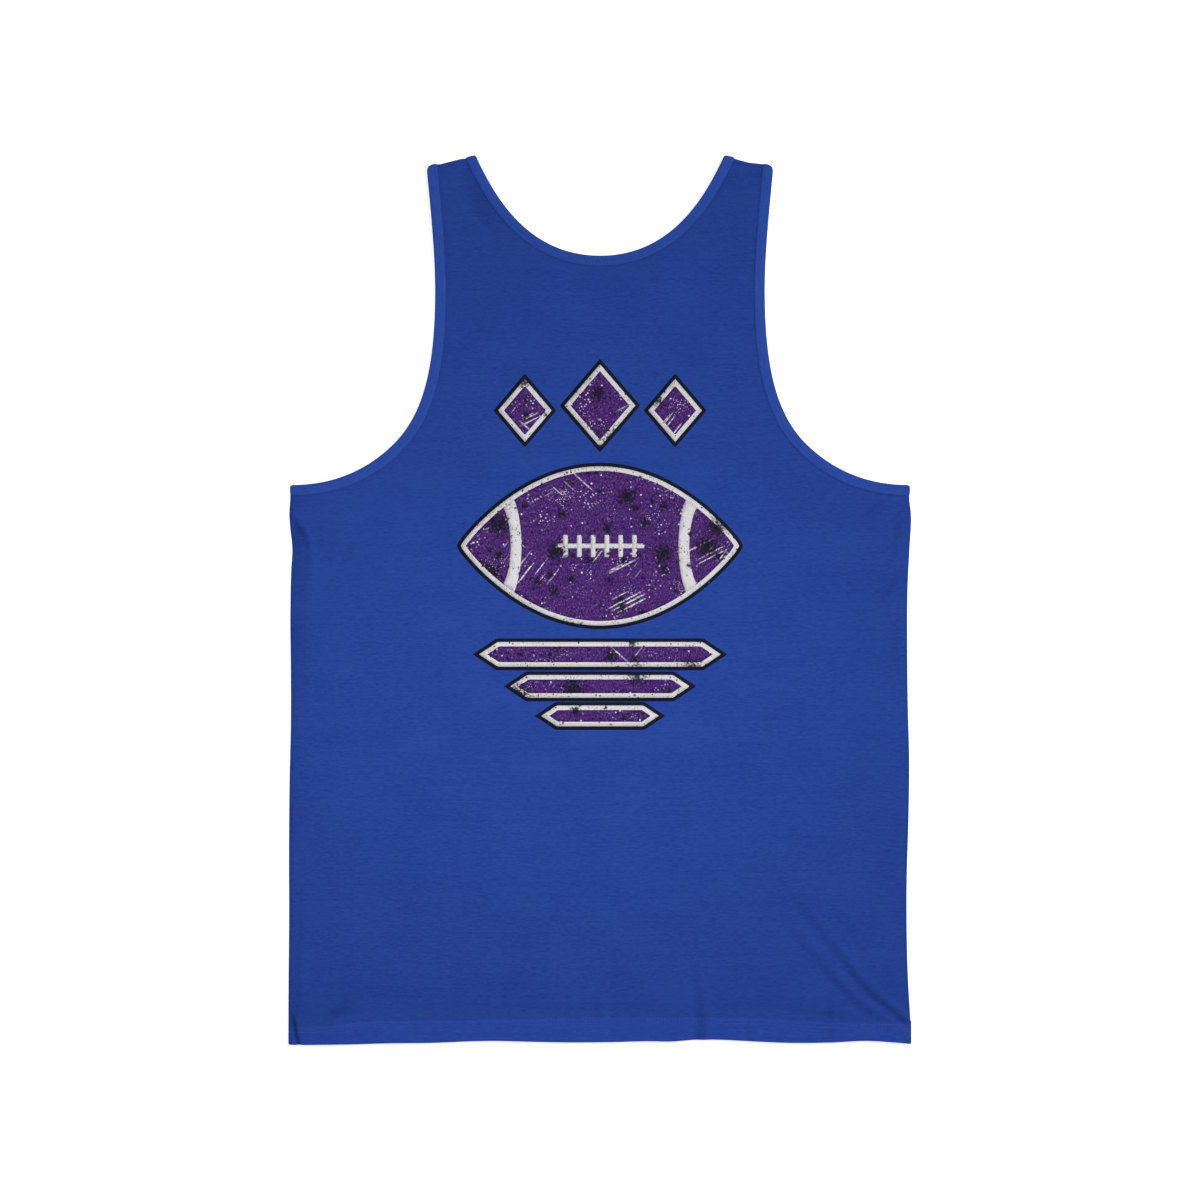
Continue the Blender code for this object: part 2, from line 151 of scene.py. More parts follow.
# Half the body's width on each side, by the height above the hem.
SIDES_LEFT: Table = (
    (0.0, 253.3), (41.0, 253.2), (99.0, 252.7), (158.0, 252.8), (216.0, 252.3), (260.0, 251.3),
    (304.0, 251.3), (345.0, 251.7), (385.0, 251.0), (404.0, 250.1), (418.0, 251.6), (430.0, 252.5),
    (443.0, 251.8), (UNDERARM_Y, 251.6),
)
SIDES_RIGHT: Table = (
    (0.0, 252.9), (24.0, 252.1), (45.0, 250.8), (99.0, 249.3), (128.0, 249.3), (187.0, 250.9),
    (230.0, 251.4), (275.0, 250.3), (320.0, 249.8), (377.0, 250.3), (404.0, 251.7), (431.0, 252.8),
    (445.0, 251.4), (UNDERARM_Y, 252.3),
)
# The height of the hem's lower edge and of its stitched edge, by the place across.
HEM_EDGE: Table = (
    (-253.1, -0.3), (-203.0, 0.2), (-170.0, 1.1), (-138.0, 1.4), (-105.0, 2.7), (-89.0, 3.0),
    (-56.0, 2.3), (-24.0, 1.8), (9.0, 2.0), (41.0, 2.7), (57.0, 2.5), (74.0, 3.7), (98.0, 3.9),
    (122.0, 2.7), (155.0, 1.4), (187.0, 1.7), (218.0, 3.0), (236.0, 2.0), (252.4, 0.4),
)
HEM_STITCH: Table = (
    (-253.1, 14.6), (-224.0, 15.8), (-198.0, 18.9), (-140.0, 20.1), (-84.0, 20.9), (-10.0, 22.4),
    (60.0, 22.8), (147.0, 21.1), (187.0, 18.9), (217.0, 18.2), (252.4, 17.9),
)


class Layer(Enum):
    """The two layers of the flat garment."""

    BACK = "back"
    FRONT = "front"


class Side(Enum):
    """The wearer's side, by the sign of x."""

    LEFT = -1
    RIGHT = 1


def eased(part: Array) -> Array:
    """A smooth rise from 0 to 1 as the part goes from 0 to 1."""
    part = np.clip(part, 0.0, 1.0)
    return part * part * (3.0 - 2.0 * part)


def unit(vectors: Array) -> Array:
    """Vectors, one row each, brought to a length of 1."""
    return vectors / np.linalg.norm(vectors, axis=1)[:, None]


def distances_along(points: Array) -> Array:
    """How far each point of a line lies along it."""
    steps = np.linalg.norm(np.diff(points, axis=0), axis=1)
    return np.append(0.0, np.cumsum(steps))


def through(rows: Table, x: Array) -> Array:
    """Follow a smooth curve through rows of a table.

    Args:
        rows: pairs of a position and a value, in order of position.
        x: the positions to read.

    Returns:
        The values at those positions.
    """
    xs, ys = np.array(rows, dtype=float).T
    slopes = np.gradient(ys, xs)
    x = np.clip(x, xs[0], xs[-1])
    i = np.clip(np.searchsorted(xs, x, side="right") - 1, 0, len(xs) - 2)
    span = xs[i + 1] - xs[i]
    t = (x - xs[i]) / span
    return (
        (2 * t**3 - 3 * t**2 + 1) * ys[i]
        + (t**3 - 2 * t**2 + t) * span * slopes[i]
        + (3 * t**2 - 2 * t**3) * ys[i + 1]
        + (t**3 - t**2) * span * slopes[i + 1]
    )


def rippled(waves: Table, place: Array) -> Array:
    """Small waves added up, from rows of their size, length and phase, along a line."""
    return sum(size * np.sin(place / length + phase) for size, length, phase in waves)


def evenly(points: Array, step: float) -> Array:
    """Place points evenly along a line of points.

    Args:
        points: the line's points, one row each.
        step: about how far apart the new points are.

    Returns:
        The new points, the line's two ends among them.
    """
    lengths = distances_along(points)
    count = max(2, round(lengths[-1] / step))
    targets = np.linspace(0.0, lengths[-1], count + 1)
    return np.column_stack([np.interp(targets, lengths, column) for column in points.T])


def bend_points(bends: tuple[Table, ...], step: float) -> Array:
    """Place points along joined cubic curves.

    Args:
        bends: each curve's start, two handles and end.
        step: about how far apart the points are.

    Returns:
        The points, from the first curve's start to the last one's end.
    """
    t = np.linspace(0.0, 1.0, BEND_STEPS)[:, None]
    s = 1.0 - t
    parts = []
    for bend in bends:
        a, b, c, d = np.array(bend, dtype=float)
        parts.append(s**3 * a + 3 * s * s * t * b + 3 * s * t * t * c + t**3 * d)
    return evenly(np.vstack(parts), step)


def nearest_on(line: Array, x: Array, y: Array) -> tuple[Array, Array]:
    """Find where points lie beside a line.

    Args:
        line: the line's points.
        x: the places across.
        y: the places up.

    Returns:
        Each point's distance from the line, and how far along the line, counted in its points.
    """
    start, run = line[:-1], np.diff(line, axis=0)
    size = (run**2).sum(axis=1)
    distances, places = [], []
    chunk = max(1, PAIRS_AT_ONCE // len(run))
    for first in range(0, len(x), chunk):
        across = x[first : first + chunk, None] - start[:, 0]
        up = y[first : first + chunk, None] - start[:, 1]
        t = np.clip((across * run[:, 0] + up * run[:, 1]) / size, 0.0, 1.0)
        away = np.hypot(across - run[:, 0] * t, up - run[:, 1] * t)
        best = away.argmin(axis=1)
        rows = np.arange(len(best))
        distances.append(away[rows, best])
        places.append(best + t[rows, best])
    return np.concatenate(distances), np.concatenate(places)


def shoulder_direction() -> Array:
    """The unit vector along the right shoulder fold, from the neck to the arm."""
    run = np.subtract(SHOULDER_ARM, SHOULDER_NECK)
    return run / np.linalg.norm(run)


def shoulder_outward(side: Side) -> Array:
    """The unit vector that points over a shoulder fold, away from the hem."""
    along = shoulder_direction()
    return np.array((side.value * -along[1], along[0]))


def side_x(y: Array, side: Side) -> Array:
    """Where a side fold lies at a height above the hem."""
    return side.value * through(SIDES_LEFT if side is Side.LEFT else SIDES_RIGHT, y)


def fold_distance(x: Array, y: Array) -> Array:
    """Measure how far points lie from the nearest side or shoulder fold.

    Args:
        x: the places across.
        y: the places up.

    Returns:
        The distances, 0 on a fold and outside it.
    """
    left, right = -side_x(y, Side.LEFT), side_x(y, Side.RIGHT)
    beside = np.where(x < 0, left, right) - np.abs(x)
    above = np.maximum(y - UNDERARM_Y, 0.0)
    beside = np.where(above > 0, np.hypot(np.maximum(beside, 0.0), above), beside)
    along = shoulder_direction()
    off = np.stack((np.abs(x), y), axis=-1) - SHOULDER_NECK
    over = -(off @ np.array((-along[1], along[0]))) - through(SHOULDER_SAG, x)
    return np.maximum(0.0, np.minimum(beside, np.where(y > UNDERARM_Y, over, beside)))


@dataclass(frozen=True)
class Bell:
    """A smooth bump beside a line: its size, how far off its middle is, and its spread."""

    size: float
    middle: float
    spread: float

    def at(self, distance: Array) -> Array:
        """The bump's size at distances from the line."""
        return self.size * np.exp(-(((distance - self.middle) / self.spread) ** 2))


@dataclass(frozen=True)
class BoundEdge:
    """A bound edge of one layer: its outer line and, at each point, the way into the cloth."""

    points: Array
    into: Array
    # How far from its ends the edge can draw back, and how fast that fades.
    reach: float = 9.0
    fade: float = 1.5

    @property
    def along(self) -> Array:
        """How far each point lies along the edge."""
        return distances_along(self.points)

    def line(self, inset: float, setbacks: tuple[float, float] = (0.0, 0.0)) -> Array:
        """The edge's line moved into the cloth, with its two ends drawn back.

        Args:
            inset: how far into the cloth.
            setbacks: how far the start and the end draw back along the edge.

        Returns:
            The line's points.
        """
        along = self.along
        tangent = unit(np.gradient(self.points, axis=0))
        start, end = (
            setback * np.clip(1.0 - away / self.reach, 0.0, 1.0) ** self.fade
            for setback, away in zip(setbacks, (along, along[-1] - along))
        )
        return self.points + self.into * inset + tangent * (start - end)[:, None]

    def mirrored(self) -> "BoundEdge":
        """The same edge on the wearer's other side."""
        flip = np.array((-1.0, 1.0))
        return BoundEdge(self.points * flip, self.into * flip)


def bound_edge(points: Array, start_into: Array, end_into: Array) -> BoundEdge:
    """Give an edge on the wearer's right the direction into its cloth.

    Args:
        points: the edge's points, with the cloth on the right as they go.
        start_into: the direction into the cloth where the edge starts.
        end_into: the direction into the cloth where it ends.

    Returns:
        The edge, whose direction turns smoothly towards those two at its ends.
    """
    turn_reach = 14.0
    tangent = unit(np.gradient(points, axis=0))
    square = np.column_stack((tangent[:, 1], -tangent[:, 0]))
    into = square.copy()
    lengths = distances_along(points)
    for given, away in ((start_into, lengths), (end_into, lengths[-1] - lengths)):
        share = eased(1.0 - away / turn_reach)[:, None]
        into = into * (1.0 - share) + np.asarray(given) * share
    into /= (into * square).sum(axis=1)[:, None]
    return BoundEdge(points, into)


@dataclass(frozen=True)
class Cut:
    """The bound edges of one layer, drawn on the wearer's right."""

    neck: tuple[Table, ...]
    armhole: tuple[Table, ...]

    def neck_edge(self) -> BoundEdge:
        """Work out the neck edge.

        Returns:
            The edge, from the left shoulder to the right one.
        """
        points = bend_points(self.neck, EDGE_STEP)
        right = bound_edge(points, (0.0, -1.0), shoulder_direction())
        left = right.mirrored()
        joined = np.vstack((left.points[::-1], right.points[1:]))
        return BoundEdge(joined, np.vstack((left.into[::-1], right.into[1:])))

    def armhole_edge(self, side: Side) -> BoundEdge:
        """Work out an armhole's edge.

        Args:
            side: the armhole's side.

        Returns:
            The edge, from the shoulder to the underarm.
        """
        points = bend_points(self.armhole, EDGE_STEP)
        right = bound_edge(points, -shoulder_direction(), (0.0, -1.0))
        return right if side is Side.RIGHT else right.mirrored()

    def bound_edges(self) -> list[tuple[BoundEdge, float]]:
        """The neck edge and the two armholes' edges, each with its binding's width."""
        arms = [(self.armhole_edge(side), ARMHOLE_BINDING_WIDTH) for side in Side]
        return [(self.neck_edge(), NECK_BINDING_WIDTH), *arms]


CUTS = {
    Layer.BACK: Cut(
        neck=(((0.0, 640.8), (59.3, 640.8), (86.1, 690.3), NECK_END),),
        armhole=(
            (STRAP_END, (139.4, 695.0), (133.9, 648.5), (133.9, 613.0)),
            ((133.9, 613.0), (133.9, 549.9), (143.3, 510.9), (168.7, 486.7)),
            ((168.7, 486.7), (186.6, 469.6), (212.7, UNDERARM_Y), UNDERARM_END),
        ),
    ),
    Layer.FRONT: Cut(
        neck=(((0.0, 598.0), (76.0, 598.0), (94.5, 690.0), NECK_END),),
        armhole=(
            (STRAP_END, (135.0, 680.0), (128.5, 640.0), (128.5, 604.0)),
            ((128.5, 604.0), (128.5, 470.0), (203.0, UNDERARM_Y), UNDERARM_END),
        ),
    ),
}


@dataclass(frozen=True)
class Crease:
    """A soft fold, by nodes of x, y, half its width there and its height.

    A plain one is a ridge, or a trough where its height is below 0. A wave rises on the left of
    the way its nodes go and falls as much on the right. A sharp one has a narrow bottom, and some
    creases have painted shade: their colour is painted darker where the fold is steep or low.
    """

    nodes: Table
    wave: bool = False
    sharpness: float = 0.0
    # How much shade is painted into the cloth's colour in the fold.
    crease_shade: float = 0.0
    # How closely its line is followed for its rows of points and for its heights.
    row_step: float = 1.6
    line_step: float = 4.0
    # The half width up to which a fold gets rows of its own, and where they lie across it.
    narrow: float = 4.8
    across: tuple[float, ...] = (-0.95, -0.65, -0.35, 0.0, 0.35, 0.65, 0.95)
    # How fast a sharp fold narrows, and how much a wave's outer half is lower than its inner one.
    blade: float = 2.4
    lean: float = 0.3

    def columns(self, step: float) -> Array:
        """Read the nodes along a smooth line.

        Args:
            step: about how far apart the readings are.

        Returns:
            The nodes' four columns, one row each.
        """
        table = np.array(self.nodes)
        place = distances_along(table[:, :2])
        fine = np.linspace(0.0, place[-1], max(6, round(place[-1] / step)))
        return np.stack([through(tuple(zip(place, column)), fine) for column in table.T])

    def rows(self) -> list[Array]:
        """Place points that follow a narrow fold.

        Returns:
            Rows of points along it, side by side, or none where the fold is wide.
        """
        x, y, half, _ = self.columns(self.row_step)
        if half.min() > self.narrow:
            return []
        line = np.column_stack((x, y))
        tangent = unit(np.gradient(line, axis=0))
        square = np.column_stack((-tangent[:, 1], tangent[:, 0])) * half[:, None]
        return [line + square * share for share in self.across]

    def shape(self, x: Array, y: Array) -> Array:
        """Find what the crease does at points.

        Args:
            x: the places across.
            y: the places up.

        Returns:
            Three rows: how strongly it lifts or lowers each point, from -1 to 1, the fold's
            height there, and how much shade is painted there, from 0 to 1.
        """
        columns = self.columns(self.line_step)
        line = columns[:2].T
        reach = columns[2].max()
        low, high = line.min(axis=0) - reach, line.max(axis=0) + reach
        close = (x > low[0]) & (x < high[0]) & (y > low[1]) & (y < high[1])
        result = np.zeros((3, len(x)))
        if not close.any():
            return result
        away, at = nearest_on(line, x[close], y[close])
        index = np.arange(line.shape[0])
        part = np.clip(away / np.interp(at, index, columns[2]), 0.0, 1.0)
        height = np.interp(at, index, columns[3])
        soft = np.cos(part * math.pi / 2) ** 2
        tone = soft
        if self.wave:
            first = np.minimum(at.astype(int), len(line) - 2)
            run = line[first + 1] - line[first]
            off = np.column_stack((x[close], y[close])) - line[first]
            side = np.sign(run[:, 0] * off[:, 1] - run[:, 1] * off[:, 0])
            result[0, close] = side * np.sin(math.pi * part) * (1.0 - self.lean * part)
        else:
            sharp = (1.0 - part) ** self.blade
            tone = soft * (1.0 - self.sharpness) + sharp * self.sharpness
            result[0, close] = tone
        result[1, close] = height
        result[2, close] = tone * np.abs(height) / max(abs(node[3]) for node in self.nodes)
        return result

    def height(self, x: Array, y: Array) -> Array:
        """The height that the crease adds at points."""
        shape, height, _ = self.shape(x, y)
        return shape * height


# Creases with a shade setting also have shade painted into the cloth's colour along them.
BACK_CREASES = {
    "right drag, upper": Crease((
        (150, 131, 7, 0.0), (168, 107, 8, 0.7), (180, 91, 8, 1.0), (192.5, 76, 8, 1.25),
        (203.5, 61.5, 8, 1.5), (214, 48, 8, 1.7), (227, 36, 7.5, 1.8), (238, 27.5, 7, 1.8),
        (247.5, 19.5, 6, 1.6), (252, 15, 5, 1.0),
    ), wave=True, crease_shade=0.1),
    "right drag, lower": Crease((
        (146, 106, 8, 0.0), (160, 88, 8.5, 0.65), (172, 74.5, 8.5, 0.85), (185, 59, 8.5, 1.05),
        (195.5, 48, 8.5, 1.15), (204.5, 37, 9, 1.15), (215.5, 30, 9, 1.0), (226, 24.5, 8, 0.75),
        (240, 19.5, 6, 0.0),
    ), wave=True, crease_shade=0.07),
    "right corner": Crease(((214, 21, 7, 0.0), (226, 12, 7, -0.4), (240, 5, 7, -0.4))),
    "hem pucker, deep": Crease((
        (79, 66, 7, 0.0), (80, 46, 7, 0.4), (81.5, 31, 7.5, 0.75), (82, 18, 8.5, 1.1),
        (81.5, 8, 8.5, 1.35), (81, 1, 8.5, 1.2),
    ), wave=True, crease_shade=0.3),
    "hem pucker, right": Crease((
        (187, 46, 6, 0.0), (187, 29, 5, 0.45), (187.5, 16, 5.5, 0.4), (187, 2, 5.5, 0.3),
    ), wave=True, crease_shade=0.1),
    "hem seam, right": Crease((
        (170, 24, 3, 0.0), (188, 22.5, 3.6, -0.3), (207, 21, 3, 0.0),
    ), crease_shade=0.16),
    "hem pucker, slight": Crease((
        (121, 28, 5, 0.0), (121, 14, 5.2, 0.35), (121, 2, 5.2, 0.4),
    ), wave=True, crease_shade=0.1),
    "hem pucker, middle": Crease((
        (-2, 54, 6, 0.0), (-2, 35, 5.5, 0.45), (-2, 25, 5, 0.5), (-2, 12, 5, 0.25), (-2, 2, 5, 0.1),
    ), wave=True),
    "hem pucker, mid left": Crease((
        (-24, 46, 6, 0.0), (-25, 31, 6, 0.4), (-26, 24, 6, 0.35), (-28, 8, 6, 0.0),
    ), wave=True),
    "hem pucker, left": Crease((
        (-99, 50, 7, 0.0), (-99, 30, 6, 0.3), (-98, 18, 6, 0.25), (-99, 2, 6, 0.2),
    ), wave=True),
    "hem shelf, middle": Crease((
        (-40, 27, 7, 0.0), (-12, 27.5, 7, -0.5), (20, 28, 6, -0.3), (60, 28, 6, 0.0),
    )),
    "hem shelf, right": Crease((
        (120, 29, 6, 0.0), (150, 27, 6, -0.5), (176, 24, 6, -0.6), (204, 22, 6, 0.0),
    )),
    "left hollow": Crease((
        (-204, 38, 15, 0.0), (-178, 36, 16, -1.0), (-150, 34, 16, -0.7), (-116, 36, 14, 0.0),
    )),
    "left corner tuck": Crease((
        (-232, 15, 5, -0.2), (-224, 19, 6, -0.9), (-214, 25, 7, -1.2), (-204, 33, 9, -0.8),
        (-192, 42, 12, -0.3), (-178, 50, 14, 0.0),
    ), crease_shade=0.3),
    "left side roll": Crease((
        (-242.6, 190, 7, 0.0), (-242.6, 130, 7, 0.25), (-242.8, 99, 7, 0.45), (-244.4, 54, 7, 0.55),
        (-245.2, 36, 6.5, 0.6), (-246.6, 28, 5.5, 0.6), (-249, 19, 4, 0.3),
    ), wave=True),
    "left corner fold": Crease((
        (-250.4, 25, 2.4, -0.5), (-249.4, 20, 3.2, -1.2), (-248.5, 15, 3.8, -1.9),
        (-247.8, 11, 3.6, -1.7), (-246.9, 6, 3.6, -1.6), (-245, 0, 3.8, -1.5),
    ), sharpness=0.4, crease_shade=1.0),
    "left side hook": Crease((
        (-252.5, 436, 4, 0.4), (-249.1, 427, 5, 0.8), (-243, 419.5, 6, 0.95),
        (-238.5, 412, 6.5, 0.95), (-236.8, 403, 7, 0.85), (-237, 391.5, 7, 0.75),
        (-238, 372, 8, 0.5), (-239, 345, 8, 0.35), (-240, 300, 8, 0.25), (-241, 250, 7, 0.0),
    ), wave=True),
    "left side flap": Crease((
        (-250.5, 427, 4, -0.1), (-248, 421, 6.5, -0.5), (-245, 412, 8, -0.5),
        (-244.5, 401, 8.5, -0.38), (-245, 386, 8.5, -0.33), (-245.5, 360, 8.5, -0.26),
        (-246, 325, 8, -0.17), (-246.5, 280, 7, 0.0),
    ), crease_shade=0.42),
    "left diagonal": Crease((
        (-192, 418, 8, 0.0), (-200, 405, 8, 0.5), (-208.5, 390, 8, 0.55), (-216.5, 375.5, 8, 0.4),
        (-222, 362, 8, 0.0),
    ), wave=True),
    "left underarm drag": Crease((
        (-208, 437, 7, 0.0), (-190.5, 429, 7, 0.55), (-171, 422.5, 7, 0.5), (-148, 419, 8, 0.0),
    ), wave=True),
    "left underarm pull": Crease((
        (-200, 443, 6, 0.0), (-185.5, 444, 6, 0.45), (-173, 451, 6, 0.45), (-160, 460, 6, 0.0),
    ), wave=True),
    "right underarm drag": Crease((
        (232, 443, 6, 0.0), (224.5, 437, 6.5, -0.8), (218, 431, 7, -0.9), (211, 425, 7, -0.6),
        (202, 418, 7, 0.0),
    ), crease_shade=0.16),
    "right dent, high": Crease((
        (243, 430, 6, 0.0), (242.5, 420, 6, 0.85), (241, 410, 6, 0.75), (238, 398, 6, 0.0),
    ), wave=True, crease_shade=0.22),
    "right dent, mid": Crease((
        (244, 385, 6, 0.0), (239.5, 375.5, 6, 0.8), (234, 368.5, 7, 0.9), (229.5, 362, 7, 0.6),
        (223, 352, 7, 0.0),
    ), wave=True, crease_shade=0.2),
    "right dent, low": Crease((
        (241.5, 352, 6, 0.0), (241, 340, 6, 0.55), (240.5, 328, 6, 0.6), (241, 316, 6, 0.4),
        (241, 298, 6, 0.0),
    ), wave=True, crease_shade=0.13),
    "right side, long": Crease((
        (241, 280, 6, 0.0), (240, 220, 6, 0.2), (239, 150, 6, 0.2), (240, 110, 6, 0.0),
    ), wave=True),
    "strap hollow, left": Crease((
        (-107, 708, 12, -0.1), (-103, 692, 13, -0.4), (-94, 675, 14, -0.4), (-80, 658, 13, -0.2),
        (-64, 646, 10, 0.0),
    ), crease_shade=0.2),
    "chest hollow, left": Crease((
        (-96, 640, 26, 0.0), (-96, 606, 32, -0.3), (-92, 566, 28, 0.0),
    ), crease_shade=0.08),
    "strap hollow, right": Crease((
        (112, 706, 9, 0.0), (110, 680, 10, -0.4), (104, 652, 10, -0.3), (92, 630, 10, 0.0),
    )),
}

FRONT_CREASES = {
    "left drag": Crease((
        (-240, 26, 8, 0.2), (-214, 50, 9, 0.8), (-182, 84, 9, 0.7), (-152, 120, 10, 0.0),
    )),
    "left drag, second": Crease(((-224, 22, 8, 0.3), (-198, 44, 9, 0.7), (-168, 76, 9, 0.0))),
    "right tuck": Crease(((214, 20, 8, 0.0), (200, 34, 8, 0.6), (180, 54, 9, 0.0))),
    "hem pucker, left": Crease(((-70, 48, 8, 0.0), (-72, 24, 7, 0.5), (-71, 2, 7, 0.5))),
    "hem pucker, right": Crease(((104, 52, 8, 0.0), (102, 26, 7, 0.6), (103, 2, 7, 0.5))),
    "left underarm drag": Crease(((-214, 436, 9, 0.3), (-186, 410, 11, 0.6), (-150, 384, 12, 0.0))),
    "right underarm drag": Crease(((222, 434, 9, 0.3), (196, 404, 11, 0.6), (168, 366, 12, 0.0))),
    "middle wave": Crease(((-90, 330, 20, 0.0), (-20, 312, 24, 0.5), (70, 322, 22, 0.0))),
    "chest wave": Crease(((-60, 500, 18, 0.0), (0, 516, 20, 0.4), (66, 498, 18, 0.0))),
}

# How far the hem's stitches stand out of each layer.
HEM_ROW_HEIGHTS = {Layer.BACK: 0.02, Layer.FRONT: -0.1}

# The slow waves of each layer: the seed of their draws, their lengths and heights, and how far
# they bend, over how many of their lengths.
WAVE_SEEDS = {Layer.BACK: 7, Layer.FRONT: 19}
WAVES: Table = (
    (190, 0.22), (140, 0.18), (110, 0.14), (84, 0.1), (64, 0.07), (47, 0.045), (33, 0.03),
)
WAVE_BEND = 9.0
WAVE_BEND_SHARE = 2.3

# What the face dips beside a binding and beside the side seam, and the small puckers there.
BINDING_DIPS = (Bell(0.08, 0.6, 0.9), Bell(0.12, 1.5, 2.6))
SIDE_SEAM_DIP = Bell(0.2, SIDE_SEAM, 0.4)
PUCKER = 0.035
PUCKER_REACH = 5.0
PUCKER_WAVES: Table = ((1.0, 1.55, 0.0), (0.7, 2.6, 1.0), (0.5, 4.1, 0.0))

# How much shade is painted on the cloth beside a binding, a side seam and the hem's stitched edge.
BINDING_SEAM_SHADES = (Bell(0.12, 0.3, 0.8), Bell(0.06, 1.0, 3.0))
SIDE_SEAM_SHADE = Bell(0.25, SIDE_SEAM, 0.5)
HEM_SEAM_SHADE = Bell(0.17, 0.2, 1.5)


@dataclass(frozen=True)
class Lie:
    """How one layer lies: the height of its outer face."""

    layer: Layer

    @property
    def up(self) -> float:
        """1 where the outer face looks up, -1 where it looks down."""
        return 1.0 if self.layer is Layer.BACK else -1.0

    @property
    def creases(self) -> tuple[Crease, ...]:
        """The layer's creases."""
        return tuple((BACK_CREASES if self.layer is Layer.BACK else FRONT_CREASES).values())

    def above_hem(self, x: Array, y: Array, stretch: float) -> Array:
        """1 on the turned-up hem and 0 above it, eased over a stretch."""
        return eased(0.5 - (y - through(HEM_STITCH, x)) / stretch)

    def beyond_binding(self, x: Array, y: Array) -> tuple[Array, Array]:
        """Measure how far points lie past the bindings.

        Args:
            x: the places across.
            y: the places up.

        Returns:
            The distances past the nearest binding's inner edge, below 0 under it, and how far
            along that binding each point lies.
        """
        past = np.full_like(x, np.inf)
        along = np.zeros_like(x)
        for edge, width in CUTS[self.layer].bound_edges():
            away, at = nearest_on(edge.points, x, y)
            closer = away - width < past
            past = np.where(closer, away - width, past)
            along = np.where(closer, at * EDGE_STEP, along)
        return past, along

    def waves(self, x: Array, y: Array) -> Array:
        """The slow unevenness of cloth laid out by hand.

        Args:
            x: the places across.
            y: the places up.

        Returns:
            The heights.
        """
        draw = np.random.default_rng(WAVE_SEEDS[self.layer])
        height = np.zeros_like(x)
        for length, size in WAVES:
            for _ in range(2):
                angle, phase = draw.uniform(0, math.pi), draw.uniform(0, math.tau)
                turn = math.cos(angle) * x + math.sin(angle) * y
                bend = np.sin(math.tau * (y - x) / (WAVE_BEND_SHARE * length) + phase)
                turn += WAVE_BEND * bend
                height += size * np.sin(math.tau * turn / length + phase)
        return height

    def seams(self, x: Array, y: Array) -> Array:
        """The dip and small puckers beside the bindings.

        Args:
            x: the places across.
            y: the places up.

        Returns:
            How far they lower the outer face.
        """
        past, along = self.beyond_binding(x, y)
        fading = np.exp(-np.maximum(past, 0.0) / PUCKER_REACH)
        dips = sum(dip.at(past) for dip in BINDING_DIPS)
        return dips + PUCKER * rippled(PUCKER_WAVES, along) * fading

    def hem_rows(self, x: Array, y: Array) -> Array:
        """The grooves that the two rows of stitches press into the hem.

        Args:
            x: the places across.
            y: the places up.

        Returns:
            How far they lower the outer face.
        """
        down = through(HEM_STITCH, x) - y
        grooves = sum(Bell(1.0, row, HEM_ROW_SPREAD).at(down) for row in HEM_ROWS)
        uneven, short, long = 0.3, 1.9, 13.0
        ripple = 1.0 + uneven * np.sin(x / short) * np.sin(x / long)
        return HEM_ROW_DEPTH * grooves * ripple

    def painted_shade(self, x: Array, y: Array) -> Array:
        """How much shade is painted on the cloth beside seams and in sharp folds, from 0 to 1.

        Args:
            x: the places across.
            y: the places up.

        Returns:
            The shares.
        """
        past, _ = self.beyond_binding(x, y)
        total = sum(tone.at(past) for tone in BINDING_SEAM_SHADES)
        total += SIDE_SEAM_SHADE.at(fold_distance(x, y)) * (y < UNDERARM_Y)
        total += HEM_SEAM_SHADE.at(y - through(HEM_STITCH, x))
        for crease in self.creases:
            if crease.crease_shade:
                total += crease.crease_shade * crease.shape(x, y)[2]
        return np.clip(total, 0.0, 1.0)

    def spread_height(self, x: Array, y: Array) -> Array:
        """The outer face's height before it curls in at the folds and dips at the seams.

        The bindings follow this face.

        Args:
            x: the places across.
            y: the places up.

        Returns:
            The heights.
        """
        folded = fold_distance(x, y)
        rolled, near = (
            np.sin(math.pi / 2 * np.minimum(folded / reach, 1.0)) for reach in (ROLL, CREASE_ROLL)
        )
        shape = sum(crease.height(x, y) for crease in self.creases)
        waves = self.waves(x, y)
        if self.layer is Layer.FRONT:
            past, _ = self.beyond_binding(x, y)
            lift = FRONT_LIFT * eased(1.0 - past / LIFT_REACH)
            return lift + np.maximum(shape + FRONT_WAVE_SHARE * waves, 0.0) * near
        above_hem = np.abs(y - through(HEM_STITCH, x) - HEM_GROOVE_WIDTH / 2)
        groove = HEM_GROOVE * eased(1.0 - above_hem / HEM_GROOVE_WIDTH)
        raised = HEM_RAISE * self.above_hem(x, y, HEM_RAMP)
        rise = (FLAT_TOP - FOLD_TOP - groove + waves) * rolled
        return FOLD_TOP + rise + (shape * near + raised)

    def height(self, x: Array, y: Array) -> Array:
        """The height of the outer face.

        Args:
            x: the places across.
            y: the places up.

        Returns:
            The heights.
        """
        back = self.layer is Layer.BACK
        seam_height = BACK_SEAM_HEIGHT if back else FRONT_SEAM_HEIGHT
        radius = BACK_EDGE_RADIUS if back else FRONT_EDGE_RADIUS
        folded = fold_distance(x, y)
        round_off = np.sqrt(1.0 - (1.0 - np.minimum(folded / radius, 1.0)) ** 2)
        z = seam_height + (self.spread_height(x, y) - seam_height) * round_off
        if back:
            side_seam = SIDE_SEAM_DIP.at(folded) * (y < UNDERARM_Y)
            return z - self.seams(x, y) - self.hem_rows(x, y) - side_seam
        return z + FRONT_SEAM_SHARE * self.seams(x, y) + self.hem_rows(x, y)

    def outward(self, x: Array, y: Array) -> Array:
        """The direction that the outer face looks in.

        Args:
            x: the places across.
            y: the places up.

        Returns:
            Unit vectors, one row each.
        """
        h = 0.02
        slope_x = (self.height(x + h, y) - self.height(x - h, y)) / (2 * h)
        slope_y = (self.height(x, y + h) - self.height(x, y - h)) / (2 * h)
        return unit(np.column_stack((-slope_x, -slope_y, np.ones_like(slope_x))) * self.up)


